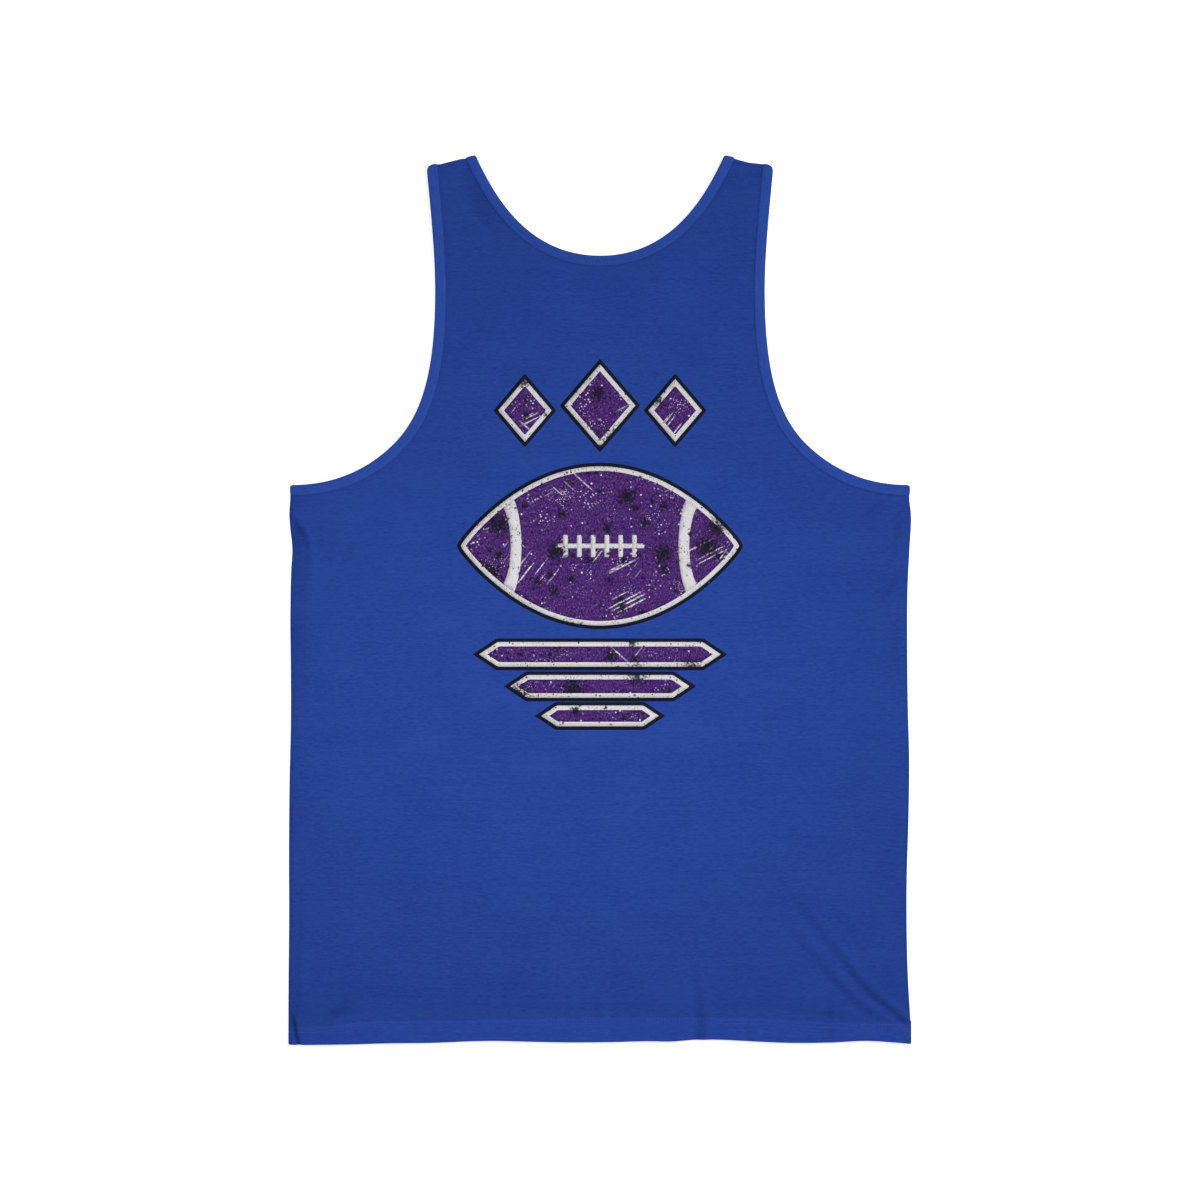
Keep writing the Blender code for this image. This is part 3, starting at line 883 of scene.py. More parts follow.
def to_scene(points: Array) -> Array:
    """Points in the garment's millimetres as points of the scene, in metres."""
    return (points - (0.0, LENGTH / 2, 0.0)) * MM


def new_object(name: str, data: bpy.types.ID) -> bpy.types.Object:
    """Put an object into the scene.

    Args:
        name: its name.
        data: its mesh, lamp or camera.

    Returns:
        The object.
    """
    made = bpy.data.objects.new(name, data)
    bpy.context.scene.collection.objects.link(made)
    return made


def mesh_object(
    name: str,
    points: Array,
    faces: Array,
    uv: Array,
    shares: dict[str, Array] | None = None,
) -> bpy.types.Object:
    """Make a smooth mesh object in the scene.

    Args:
        name: the object's name.
        points: its points, in the garment's millimetres.
        faces: its faces, one row of point numbers each.
        uv: the place in the cloth of each corner of each face, in millimetres.
        shares: by name, a number from 0 to 1 for each point, which its material reads.

    Returns:
        The object.
    """
    corners = faces.shape[1]
    mesh = bpy.data.meshes.new(name)
    mesh.vertices.add(len(points))
    mesh.vertices.foreach_set("co", to_scene(points).ravel())
    mesh.loops.add(faces.size)
    mesh.loops.foreach_set("vertex_index", faces.ravel().astype(np.int32))
    mesh.polygons.add(len(faces))
    mesh.polygons.foreach_set("loop_start", np.arange(0, faces.size, corners, dtype=np.int32))
    mesh.polygons.foreach_set("use_smooth", np.ones(len(faces), dtype=bool))
    layer = mesh.uv_layers.new(name=CLOTH_MAP)
    layer.data.foreach_set("uv", (uv.reshape(-1, 2) * MM).ravel())
    for share, values in (shares or {}).items():
        attribute = mesh.attributes.new(share, "FLOAT", "POINT")
        attribute.data.foreach_set("value", values.astype(np.float32))
    mesh.update(calc_edges=True)
    mesh.validate()
    return new_object(name, mesh)


def inside(polygon: Array, x: Array, y: Array) -> Array:
    """Find which points lie inside a polygon.

    Args:
        polygon: its corners, in order.
        x: the places across.
        y: the places up.

    Returns:
        True for each point inside.
    """
    result = np.zeros(len(x), dtype=bool)
    for (ax, ay), (bx, by) in zip(polygon, np.roll(polygon, -1, axis=0)):
        if ay == by:
            continue
        crosses = (ay > y) != (by > y)
        result ^= crosses & (x < (bx - ax) * (y - ay) / (by - ay) + ax)
    return result


def hexagonal(outline: Array, step: float) -> Array:
    """Fill an outline with points in staggered rows.

    Args:
        outline: its points, in order.
        step: how far apart the points are.

    Returns:
        The points inside the outline.
    """
    low, high = outline.min(axis=0), outline.max(axis=0)
    rows = []
    for i, y in enumerate(np.arange(low[1], high[1], step * math.sqrt(3) / 2)):
        x = np.arange(low[0] + (step / 2 if i % 2 else 0.0), high[0], step)
        rows.append(np.column_stack((x, np.full_like(x, y))))
    grid = np.vstack(rows)
    return grid[inside(outline, *grid.T)]


def thinned(placed: Array, extra: Array, room: float) -> Array:
    """Keep those extra points that have room beside the points already placed.

    Args:
        placed: the points already placed.
        extra: the extra points.
        room: the least distance between an extra point and a placed one.

    Returns:
        The extra points that stay.
    """
    tree = kdtree.KDTree(len(placed))
    for i, (x, y) in enumerate(placed):
        tree.insert((x, y, 0.0), i)
    tree.balance()
    keep = [tree.find((x, y, 0.0))[2] > room for x, y in extra]
    return extra[np.array(keep, dtype=bool)]


def filled(outline: Array, points: Array) -> tuple[Array, Array, dict]:
    """Fill an outline with triangles.

    Args:
        outline: its points, in order.
        points: more points inside it.

    Returns:
        The points of the triangles, the triangles that face up, and the new number of each
        point of the outline.
    """
    flat = [Vector(p) for p in np.vstack((outline, points)).tolist()]
    found = delaunay_2d_cdt(flat, [], [list(range(len(outline)))], 1, 1e-5)
    made = np.array([(p.x, p.y) for p in found[0]])
    triangles = np.array(found[2], dtype=np.int64)
    a, b, c = (made[triangles[:, k]] for k in range(3))
    area = (b - a)[:, 0] * (c - a)[:, 1] - (b - a)[:, 1] * (c - a)[:, 0]
    triangles[area < 0] = triangles[area < 0][:, ::-1]
    numbers = {}
    for new, olds in enumerate(found[3]):
        for old in olds:
            numbers[old] = new
    used = np.zeros(len(made), dtype=bool)
    used[triangles.ravel()] = True
    renumber = np.cumsum(used) - 1
    numbers = {old: int(renumber[new]) for old, new in numbers.items() if used[new]}
    return made[used], renumber[triangles], numbers


def walled(
    points: Array, faces: Array, normals: Array, uv: Array, wall: float
) -> tuple[Array, Array, Array]:
    """Give an open sheet a wall, so that it is closed.

    Args:
        points: the points of its outer face.
        faces: its triangles, which look outwards.
        normals: the outward direction at each point.
        uv: the place in the cloth of each point.
        wall: the wall's thickness.

    Returns:
        The points, the triangles, and the place in the cloth of each of their corners.
    """
    count = len(points)
    edges = np.vstack([faces[:, (k, (k + 1) % 3)] for k in range(3)])
    keys = edges[:, 0] * count + edges[:, 1]
    back = edges[:, 1] * count + edges[:, 0]
    rim = edges[~np.isin(keys, back)]
    a, b = rim[:, 0], rim[:, 1]
    sides = np.vstack(
        (np.stack((b, a, a + count), axis=1), np.stack((b, a + count, b + count), axis=1))
    )
    closed = np.vstack((faces, faces[:, ::-1] + count, sides))
    both = np.vstack((points, points - normals * wall))
    return both, closed, np.vstack((uv, uv))[closed]


def point_normals(points: Array, faces: Array) -> Array:
    """Work out a sheet's direction at each of its points.

    Args:
        points: the sheet's points.
        faces: its triangles.

    Returns:
        The mean direction of the triangles round each point.
    """
    a, b, c = (points[faces[:, k]] for k in range(3))
    across = np.cross(b - a, c - a)
    across /= np.maximum(np.linalg.norm(across, axis=1), 1e-12)[:, None]
    total = np.zeros_like(points)
    for k in range(3):
        np.add.at(total, faces[:, k], across)
    return total / np.maximum(np.linalg.norm(total, axis=1), 1e-9)[:, None]


@dataclass(frozen=True)
class Panel:
    """The back or the front: one thin sheet with its hem turned up inside."""

    layer: Layer
    grid: float

    @property
    def lie(self) -> Lie:
        """How the panel lies."""
        return Lie(self.layer)

    def side_fold(self, side: Side, top: float) -> Array:
        """Place points up a side fold.

        Args:
            side: the fold's side.
            top: the height where they end.

        Returns:
            The points, from the hem's fold up.
        """
        foot_x = side_x(np.array(0.0), side)
        start = float(through(HEM_EDGE, foot_x)) + HEM_RADIUS
        y = np.linspace(start, top, round((top - start) / EDGE_STEP))
        return np.column_stack((side_x(y, side), y))

    def hem_line(self) -> Array:
        """Place points along the foot of the panel, where it starts to turn under.

        Returns:
            The points, from left to right.
        """
        left, right = -SIDES_LEFT[0][1], SIDES_RIGHT[0][1]
        rim = np.array((0.0,) + RIM)
        count = round((right - left) / EDGE_STEP)
        even = np.linspace(left + RIM[-1], right - RIM[-1], count)[1:-1]
        x = np.concatenate((left + rim, even, (right - rim)[::-1]))
        return np.column_stack((x, through(HEM_EDGE, x) + HEM_RADIUS))

    def shoulder(self, start: Array, end: Array, side: Side) -> Array:
        """Place points along the shoulder fold.

        Args:
            start: the point where one binding's seam reaches the fold.
            end: the same for the other binding.
            side: the shoulder's side.

        Returns:
            The points on the fold between those two.
        """
        out = shoulder_outward(side)
        corner = np.array((side.value * SHOULDER_NECK[0], SHOULDER_NECK[1]))
        ends = [p + out * ((corner - p) @ out) for p in (start, end)]
        line = np.linspace(ends[0], ends[1], round(math.dist(*ends) / SHOULDER_STEP))
        return line - through(SHOULDER_SAG, line[:, :1]) * out

    def outline(self) -> Array:
        """Work out the panel's outline.

        Returns:
            Its points, from the hem's left end round by the right armhole.
        """
        cut = CUTS[self.layer]
        neck = cut.neck_edge().line(NECK_BINDING_WIDTH - OVERLAP)
        arms = {s: cut.armhole_edge(s).line(ARMHOLE_BINDING_WIDTH - OVERLAP) for s in Side}
        left, right = arms[Side.LEFT], arms[Side.RIGHT]
        parts = (
            self.hem_line(),
            self.side_fold(Side.RIGHT, right[-1][1])[1:],
            right[::-1],
            self.shoulder(right[0], neck[-1], Side.RIGHT),
            neck[::-1],
            self.shoulder(neck[0], left[0], Side.LEFT),
            left,
            self.side_fold(Side.LEFT, left[-1][1])[:0:-1],
        )
        return np.vstack(parts)

    def detail(self, outline: Array) -> Array:
        """Place points where the sheet curls or dips: along folds, stitches and bindings.

        Args:
            outline: the panel's outline.

        Returns:
            The points inside it.
        """
        cut = CUTS[self.layer]
        rows = []
        for side in Side:
            fold = self.side_fold(side, UNDERARM_Y - ARMHOLE_BINDING_WIDTH + OVERLAP)[1:-1]
            rows += [fold - (side.value * d, 0.0) for d in RIM]
            flip = np.array((side.value, 1.0))
            run = np.linspace(SHOULDER_NECK, SHOULDER_ARM, SHOULDER_POINTS)[2:-2] * flip
            run = run - through(SHOULDER_SAG, run[:, :1]) * shoulder_outward(side)
            rows += [run - shoulder_outward(side) * d for d in RIM]
            edge = cut.armhole_edge(side)
            rows += [edge.line(ARMHOLE_BINDING_WIDTH + w) for w in BINDING_LINES]
        rows += [cut.neck_edge().line(NECK_BINDING_WIDTH + w) for w in BINDING_LINES]
        x = self.hem_line()[len(RIM) + 1 : -len(RIM) - 1, 0]
        rows += [np.column_stack((x, through(HEM_STITCH, x) - down)) for down in STITCH_LINES]
        rows += [np.column_stack((x, through(HEM_EDGE, x) + up)) for up in HEM_LINES]
        rows += [row for crease in self.lie.creases for row in crease.rows()]
        placed = outline
        for row in rows:
            row = row[inside(outline, *row.T)]
            if len(row):
                placed = np.vstack((placed, thinned(placed, row, LEAST_ROOM)))
        return placed[len(outline) :]

    def turned_hem(self, foot: Array, looks: Array) -> list[tuple]:
        """Carry the sheet round the hem's fold and back up inside.

        Args:
            foot: the points of the panel's lowest row.
            looks: the outward direction at each of them.

        Returns:
            For each new row its points, their outward directions and their cut's height.
        """
        down = unit(np.array((0.0, -1.0, 0.0)) - looks * -looks[:, 1:2])
        middle = foot - looks * HEM_RADIUS
        rows = []
        for angle in np.linspace(0.0, math.pi, FOLD_STEPS)[1:]:
            out = looks * math.cos(angle) + down * math.sin(angle)
            rows.append((middle + out * HEM_RADIUS, out, -HEM_RADIUS * angle))
        inner = foot - looks * 2 * HEM_RADIUS
        x, y = foot[:, 0], foot[:, 1]
        for up in np.linspace(0.0, HEM_DEPTH, HEM_STEPS)[1:]:
            rise = self.lie.height(x, y + up) - self.lie.height(x, y)
            moved = inner + np.column_stack((np.zeros_like(x), np.full_like(x, up), rise))
            rows.append((moved, -looks, -HEM_RADIUS * math.pi - up))
        return rows

    def build(self) -> bpy.types.Object:
        """Build the panel.

        Returns:
            The panel's object.
        """
        outline = self.outline()
        placed = self.detail(outline)
        grid = hexagonal(outline, self.grid)
        grid = thinned(np.vstack((outline, placed)), grid, self.grid * GRID_ROOM)
        flat, faces, numbers = filled(outline, np.vstack((placed, grid)))
        x, y = flat.T
        points = np.column_stack((flat, self.lie.height(x, y)))
        if self.lie.up < 0:
            faces = faces[:, ::-1]
        normals = point_normals(points, faces)
        uv = flat.copy()
        row = np.array([numbers[i] for i in range(len(self.hem_line()))])
        foot_y = uv[row, 1]
        looks = self.lie.outward(x[row], y[row])
        normals[row] = looks
        for moved, out, cut_y in self.turned_hem(points[row], looks):
            new = np.arange(len(moved)) + len(points)
            quads = np.stack((row[:-1], new[:-1], new[1:], row[1:]), axis=1)
            triangles = np.vstack((quads[:, (0, 1, 2)], quads[:, (0, 2, 3)]))
            faces = np.vstack((faces, triangles if self.lie.up > 0 else triangles[:, ::-1]))
            points = np.vstack((points, moved))
            normals = np.vstack((normals, out))
            uv = np.vstack((uv, np.column_stack((moved[:, 0], foot_y + cut_y))))
            row = new
        x, y = points[:, 0], points[:, 1]
        # Each point carries where the cloth lies double, and how much shade is painted on it beside
        # seams and in folds.
        shares = {
            "doubled": np.tile(self.lie.above_hem(x, y, HEM_BLEND), 2),
            "painted_shade": np.tile(self.lie.painted_shade(x, y), 2),
        }
        shell, closed, corners = walled(points, faces, normals, uv, CLOTH)
        return mesh_object(f"{self.layer.value}_jersey", shell, closed, corners, shares)


@dataclass(frozen=True)
class Binding:
    """A ring of cloth folded over a raw edge, along both layers and over the folds between."""

    name: str
    width: float
    # How round its corners are where the bound edge starts and where it ends.
    corner_radii: tuple[float, float]
    # The height on the garment below which painted shade deepens, and how far down that goes on.
    # It evens out the low lamp's light along the binding.
    lower_shade: tuple[float, float]
    lower_shade_depth: float = 0.2
    # How much shade is painted at its inner edge and on its fold.
    edge_shade: Bell = Bell(0.1, 0.0, 0.5)
    fold_shade: Bell = Bell(0.5, 0.0, 0.6)
    # How much its thickness varies along it.
    ripples: Table = ((0.05, 1.7, 0.0), (0.05, 2.9, 2.0), (0.06, 7.3, 1.0))

    def section(self) -> Array:
        """Draw the strip across.

        Returns:
            The distance from its fold and the height from its middle, as a closed line.
        """
        outer = [
            (self.width, 0.32), (self.width - 0.25, 0.48), (self.width - 0.7, 0.62),
            (self.width - 1.3, 0.74), (self.width - 2.1, 0.84), (self.width * 0.55, 0.93),
            (2.2, 0.93), (1.2, 0.84), (0.55, 0.66), (0.15, 0.37), (0.0, 0.0),
        ]
        inner = [(0.62, 0.0), (0.8, 0.22), (1.3, 0.38), (self.width * 0.6, 0.42)]
        around = outer + [(w, -n) for w, n in reversed(outer[:-1])]
        around += [(w, -n) for w, n in reversed(inner)] + inner[1:]
        return np.array(around)

    def corner(self, w: float, radius: float) -> float:
        """How far the fold line draws back near the strip's outer edge, to round the corner."""
        return radius - math.sqrt(radius**2 - max(radius - w, 0.0) ** 2)

    def along_layer(self, edge: BoundEdge, layer: Layer) -> Array:
        """Lay the strip's sections along one layer.

        Args:
            edge: the layer's bound edge.
            layer: which layer.

        Returns:
            The points by place along the edge and place in the section.
        """
        lie = Lie(layer)
        ripple = rippled(self.ripples, edge.along)
        rows = []
        for w, n in self.section():
            line = edge.line(w, tuple(self.corner(w, radius) for radius in self.corner_radii))
            middle = lie.spread_height(*line.T) + lie.up * -CLOTH / 2
            puff = n * (1.0 + ripple * math.sin(math.pi * min(w / self.width, 1.0)))
            rows.append(np.column_stack((line, middle + lie.up * puff)))
        return np.stack(rows, axis=1)

    def over_fold(self, above: Array, below: Array, outward: Array) -> Array:
        """The strip's sections round a fold, between its upper and its lower layer.

        Args:
            above: the upper layer's last section.
            below: the lower layer's section under it.
            outward: the level direction that the fold looks in.

        Returns:
            The sections between those two.
        """
        rows = []
        radius = (above[:, 2] - below[:, 2]) / 2
        for angle in np.linspace(0.0, math.pi, FOLD_STEPS + 2)[1:-1]:
            part = (1.0 - math.cos(angle)) / 2
            middle = above * (1.0 - part) + below * part
            level = middle[:, :2] + np.outer(radius * math.sin(angle), outward)
            z = (above[:, 2] + below[:, 2]) / 2 + radius * math.cos(angle)
            rows.append(np.column_stack((level, z)))
        return np.stack(rows)

    def build(self, back: BoundEdge, front: BoundEdge, folds: tuple) -> bpy.types.Object:
        """Build the ring.

        Args:
            back: the back layer's bound edge.
            front: the front layer's bound edge, in the same direction.
            folds: the level directions that the folds at the edges' start and end look in.

        Returns:
            The ring's object.
        """
        above = self.along_layer(back, Layer.BACK)
        below = self.along_layer(front, Layer.FRONT)
        over_start, over_end = (self.over_fold(above[i], below[i], folds[i]) for i in (0, -1))
        ring = np.concatenate((above, over_end, below[::-1], over_start[::-1]))
        count, across = ring.shape[:2]
        section = self.section()
        along = distances_along(np.concatenate((ring, ring[:1]))[:, 0])
        around = distances_along(np.vstack((section, section[:1])))
        i, k = np.divmod(np.arange(count * across), across)
        corners = [(i, k), (i, k + 1), (i + 1, k + 1), (i + 1, k)]
        faces = np.stack([(a % count) * across + b % across for a, b in corners], axis=1)
        uv = np.stack([np.column_stack((along[a], around[b])) for a, b in corners], axis=1)
        points = ring.reshape(-1, 3)
        if signed_volume(points, faces) < 0:
            faces, uv = faces[:, ::-1], uv[:, ::-1]
        w = np.tile(section[:, 0], count)
        # Painted shade at the inner edge and on the fold, deepening below a height on the garment.
        shade_share = self.edge_shade.at(self.width - w) + self.fold_shade.at(w)
        start, reach = self.lower_shade
        shade_share += self.lower_shade_depth * eased((start - points[:, 1]) / reach)
        shares = {"doubled": np.ones(len(points)), "painted_shade": shade_share}
        return mesh_object(self.name, points, faces, uv, shares)


def signed_volume(points: Array, faces: Array) -> float:
    """Work out the volume that faces of four points enclose.

    Args:
        points: the points.
        faces: the faces.

    Returns:
        The volume, below 0 where the faces look inwards.
    """
    a, b, c, d = (points[faces[:, k]] for k in range(4))
    first = np.einsum("ij,ij->i", a, np.cross(b, c))
    return float((first + np.einsum("ij,ij->i", a, np.cross(c, d))).sum() / 6)


def add_node(
    tree: Tree, kind: str, inputs: dict | tuple = (), **settings: object
) -> bpy.types.bpy_prop_collection:
    """Add a node to a tree, with its settings and links.

    Args:
        tree: the node tree.
        kind: the node's type.
        inputs: what its inputs get, in order or by name or number: a value, or a socket to link.
        settings: the node's own properties, by name.

    Returns:
        The node's outputs.
    """
    node = tree.nodes.new(kind)
    for name, value in settings.items():
        setattr(node, name, value)
    for name, value in (inputs if isinstance(inputs, dict) else dict(enumerate(inputs))).items():
        if isinstance(value, Socket):
            tree.links.new(value, node.inputs[name])
        else:
            node.inputs[name].default_value = value
    return node.outputs


def linear(hex_colour: str) -> tuple[float, float, float, float]:
    """Turn an sRGB hex colour into linear light.

    Args:
        hex_colour: the colour, as # and six digits.

    Returns:
        Its red, green, blue and an alpha of 1.
    """
    values = [int(hex_colour[i : i + 2], 16) / 255 for i in (1, 3, 5)]
    turned = [v / 12.92 if v <= 0.04045 else ((v + 0.055) / 1.055) ** 2.4 for v in values]
    return (*turned, 1.0)


def new_material(name: str, plain: str, settings: dict[str, object]) -> Material:
    """Make a material, with what is the same all over the surface set on its shader.

    Args:
        name: the material's name.
        plain: its colour in a view without shaders.
        settings: the values of the shader's own sockets, by name.

    Returns:
        The material.
    """
    made = bpy.data.materials.new(name)
    made.use_nodes = True
    made.diffuse_color = linear(plain)
    for socket, value in settings.items():
        made.node_tree.nodes["Principled BSDF"].inputs[socket].default_value = value
    return made


def connect(made: Material, sockets: dict[str, Socket]) -> None:
    """Link what varies over the surface to a material's shader."""
    for name, source in sockets.items():
        made.node_tree.links.new(source, made.node_tree.nodes["Principled BSDF"].inputs[name])


@dataclass(frozen=True)
class Grain:
    """Noise on the cloth: the size of its grain in millimetres, its finer levels and its seed."""

    across: float
    up: float
    detail: float = 3.0
    seed: float = 0.0

    def noise(self, tree: Tree) -> Socket:
        """Make the noise.

        Args:
            tree: the material's nodes.

        Returns:
            The noise, from 0 to 1.
        """
        inputs = {
            "Vector": add_node(tree, "ShaderNodeUVMap", uv_map=CLOTH_MAP)[0],
            "Scale": (1 / (self.across * MM), 1 / (self.up * MM), 1.0),
            "Location": (0.0, 0.0, self.seed),
        }
        placed = add_node(tree, "ShaderNodeMapping", inputs)[0]
        inputs = {"Vector": placed, "Scale": 1.0, "Detail": self.detail}
        return add_node(tree, "ShaderNodeTexNoise", inputs)["Fac"]


@dataclass(frozen=True)
class Knit:
    """The face of single jersey: columns of small loops, and courses that vary a little."""

    # Real loops are about 0.6 mm wide. They are drawn at 0.8 mm, so that they show.
    wale: float = 0.8
    course: float = 0.62
    # How many courses a loop's leg climbs over a wale, how high it lies at its edges and how
    # fast it rises to its middle.
    slant: float = 1.3
    leg: float = 0.55
    rounding: float = 0.9
    # How uneven the dye is, by kinds of grain and their weight. Thick and thin places in the yarn
    # show as dashes along the courses and as flecks, both coarser than the real 0.3 mm, so that
    # they show. Some courses took up more dye than others, and handling left slow patches.
    dye: tuple[tuple[Grain, float], ...] = (
        (Grain(8.0, 1.6, 3.0), 1.0),
        (Grain(4.0, 1.5, 2.0, 3.0), 1.0),
        (Grain(90.0, 3.4, 2.0, 5.0), 0.45),
        (Grain(44.0, 30.0, 2.0, 7.0), 0.6),
    )
    # The loops' height also sets the colour: painted shade in the hollows between them, lighter on
    # their tops.
    loop_shade_weight: float = 0.16
    # The courses' own relief, twice as deep as the loops'.
    courses: Grain = Grain(8.0, 1.6, 3.0, 11.0)

    def loops(self, tree: Tree) -> Socket:
        """Draw the loops: V shapes stacked in columns.

        Args:
            tree: the material's nodes.

        Returns:
            Their height, from 0 to 1.
        """
        place = add_node(tree, "ShaderNodeUVMap", uv_map=CLOTH_MAP)[0]
        x, y, _ = add_node(tree, "ShaderNodeSeparateXYZ", (place,))
        leg = x
        steps = (("MULTIPLY", 1 / (self.wale * MM)), ("FRACT",), ("SUBTRACT", 0.5), ("ABSOLUTE",))
        for operation, *values in steps:
            leg = add_node(tree, MATH, (leg, *values), operation=operation)[0]
        rise = add_node(tree, MATH, (y, 1 / (self.course * MM)), operation="MULTIPLY")[0]
        stack = add_node(tree, MATH, (leg, self.slant, rise), operation="MULTIPLY_ADD")[0]
        for operation, *values in (("MULTIPLY", math.pi), ("SINE",), ("ABSOLUTE",)):
            stack = add_node(tree, MATH, (stack, *values), operation=operation)[0]
        height = leg
        steps = (("MULTIPLY", 2.0), ("PINGPONG", 0.5), ("MULTIPLY_ADD", self.rounding, self.leg))
        for operation, *values in steps:
            height = add_node(tree, MATH, (height, *values), operation=operation)[0]
        return add_node(tree, MATH, (stack, height), operation="MULTIPLY")[0]

    def unevenness(self, tree: Tree) -> Socket:
        """Say how light each place in the cloth is, with painted shade between the loops.

        Args:
            tree: the material's nodes.

        Returns:
            A number from 0, deep, to 1, light, 0.5 on the whole.
        """
        parts = [(grain.noise(tree), weight) for grain, weight in self.dye]
        parts.append((self.loops(tree), self.loop_shade_weight))
        total = 0.5 - 0.5 * sum(weight for _, weight in parts)
        for source, weight in parts:
            total = add_node(tree, MATH, (source, weight, total), operation="MULTIPLY_ADD")[0]
        return total

    def bump(self, tree: Tree, depth: float) -> Socket:
        """Make the relief of the loops and the courses.

        Args:
            tree: the material's nodes.
            depth: the loops' depth in millimetres.

        Returns:
            The bent normal.
        """
        inputs = {"Height": self.loops(tree), "Distance": depth * MM, "Strength": 1.0}
        loops = add_node(tree, "ShaderNodeBump", inputs)[0]
        inputs = {"Height": self.courses.noise(tree), "Distance": 2 * depth * MM, "Strength": 1.0}
        return add_node(tree, "ShaderNodeBump", {**inputs, "Normal": loops})[0]


@dataclass(frozen=True)
class Shade:
    """A colour where the cloth took the dye or ink deeply and where it took it lightly."""

    deep: str
    light: str

    def between(self, tree: Tree, share: Socket) -> Socket:
        """The colour between the two, nearer to the light one as the share grows."""
        inputs = {0: share, 6: linear(self.deep), 7: linear(self.light)}
        return add_node(tree, "ShaderNodeMix", inputs, data_type="RGBA")[2]


@dataclass(frozen=True)
class JerseyFinish:
    """Piece-dyed polyester single jersey: matt, with a faint sheen at a low angle."""

    name: str
    single: Shade
    double: Shade
    knit: Knit = Knit()
    # The loops' depth in millimetres, and how rough the cloth is between and on them.
    relief: float = 0.05
    roughness: tuple[float, float] = (0.88, 0.78)
    # How much darker the cloth's colour is painted where its painted shade is full.
    shade_strength: float = 0.5

    def cloth_colour(self, tree: Tree) -> Socket:
        """Dye the cloth, lighter where it lies double, and darken it by its painted shade.

        Args:
            tree: the material's nodes.

        Returns:
            The colour.
        """
        uneven = self.knit.unevenness(tree)
        doubled, painted_shade = (
            add_node(tree, "ShaderNodeAttribute", attribute_name=name)["Fac"]
            for name in ("doubled", "painted_shade")
        )
        single, double = self.single.between(tree, uneven), self.double.between(tree, uneven)
        inputs = {0: doubled, 6: single, 7: double}
        dyed = add_node(tree, "ShaderNodeMix", inputs, data_type="RGBA")[2]
        # Painted shade darkens the dyed colour.
        factor = add_node(tree, MATH, (painted_shade, -self.shade_strength, 1.0), operation="MULTIPLY_ADD")[0]
        inputs = {0: dyed, "Scale": factor}
        return add_node(tree, "ShaderNodeVectorMath", inputs, operation="SCALE")[0]

    def material(self) -> Material:
        """Make the material.

        Returns:
            The material.
        """
        settings = {"IOR": 1.5, "Specular IOR Level": 0.05, "Sheen Weight": 0.03}
        settings |= {"Sheen Roughness": 0.45, "Sheen Tint": linear("#5A7FD8")}
        made = new_material(self.name, self.single.light, settings)
        tree = made.node_tree
        low, high = self.roughness
        inputs = {"Value": self.knit.loops(tree), "To Min": low, "To Max": high}
        sockets = {
            "Base Color": self.cloth_colour(tree),
            "Roughness": add_node(tree, "ShaderNodeMapRange", inputs)[0],
            "Normal": self.knit.bump(tree, self.relief),
        }
        connect(made, sockets)
        return made


@dataclass(frozen=True, kw_only=True)
class Wear:
    """A kind of wear in the ink. It shows only as far as the patches do that it lies within."""

    within: tuple["Patches", ...] = ()

    def pattern(self, tree: Tree) -> Socket:
        """The wear's own pattern, from 0 to 1."""
        raise NotImplementedError

    def mask(self, tree: Tree) -> Socket:
        """Find where the wear shows.

        Args:
            tree: the material's nodes.

        Returns:
            1 on the wear and 0 outside.
        """
        mask = self.pattern(tree)
        for patches in self.within:
            mask = add_node(tree, MATH, (mask, patches.mask(tree)), operation="MULTIPLY")[0]
        return mask


@dataclass(frozen=True)
class Marks(Wear):
    """Scattered marks: dots, or scratches where their cells are long.

    A cell is the room for one mark, across and up in millimetres. A mark's reach is half the
    largest one's size, as a share of the cell, and the share says how many cells have one.
    """

    cell: tuple[float, float]
    reach: float
    share: float
    # The way that the marks run, in degrees.
    angle: float = 0.0
    # How much of a mark is full inside its soft edge, and how far its edge strays.
    core: float = 0.55
    ragged: float = 0.0
    strength: float = 1.0
    # The smallest mark's size, as a share of the largest one's.
    smallest: float = 0.35
    edge_grain: Grain = Grain(2.0, 2.0, 4.0, 23.0)

    def pattern(self, tree: Tree) -> Socket:
        """Draw the marks.

        Args:
            tree: the material's nodes.

        Returns:
            The marks' strength, and 0 outside them.
        """
        inputs = {
            "Vector": add_node(tree, "ShaderNodeUVMap", uv_map=CLOTH_MAP)[0],
            "Rotation": (0.0, 0.0, math.radians(self.angle)),
            "Scale": (self.cell[0] * MM, self.cell[1] * MM, 1.0),
        }
        placed = add_node(tree, "ShaderNodeMapping", inputs, vector_type="TEXTURE")[0]
        inputs = {"Vector": placed, "Scale": 1.0}
        cells = add_node(tree, "ShaderNodeTexVoronoi", inputs, voronoi_dimensions="2D")
        chance, draw, _ = add_node(tree, "ShaderNodeSeparateColor", (cells["Color"],))
        inputs = (draw, (1.0 - self.smallest) * self.reach, self.smallest * self.reach)
        size = add_node(tree, MATH, inputs, operation="MULTIPLY_ADD")[0]
        ratio = add_node(tree, MATH, (cells["Distance"], size), operation="DIVIDE")[0]
        if self.ragged:
            inputs = (self.edge_grain.noise(tree), 4.0 * self.ragged, -2.0 * self.ragged)
            stray = add_node(tree, MATH, inputs, operation="MULTIPLY_ADD")[0]
            ratio = add_node(tree, MATH, (ratio, stray), operation="ADD")[0]
        inputs = {"Value": ratio, "From Min": 1.0, "From Max": self.core, "To Max": self.strength}
        mark = add_node(tree, "ShaderNodeMapRange", inputs)[0]
        there = add_node(tree, MATH, (chance, self.share), operation="LESS_THAN")[0]
        return add_node(tree, MATH, (mark, there), operation="MULTIPLY")[0]


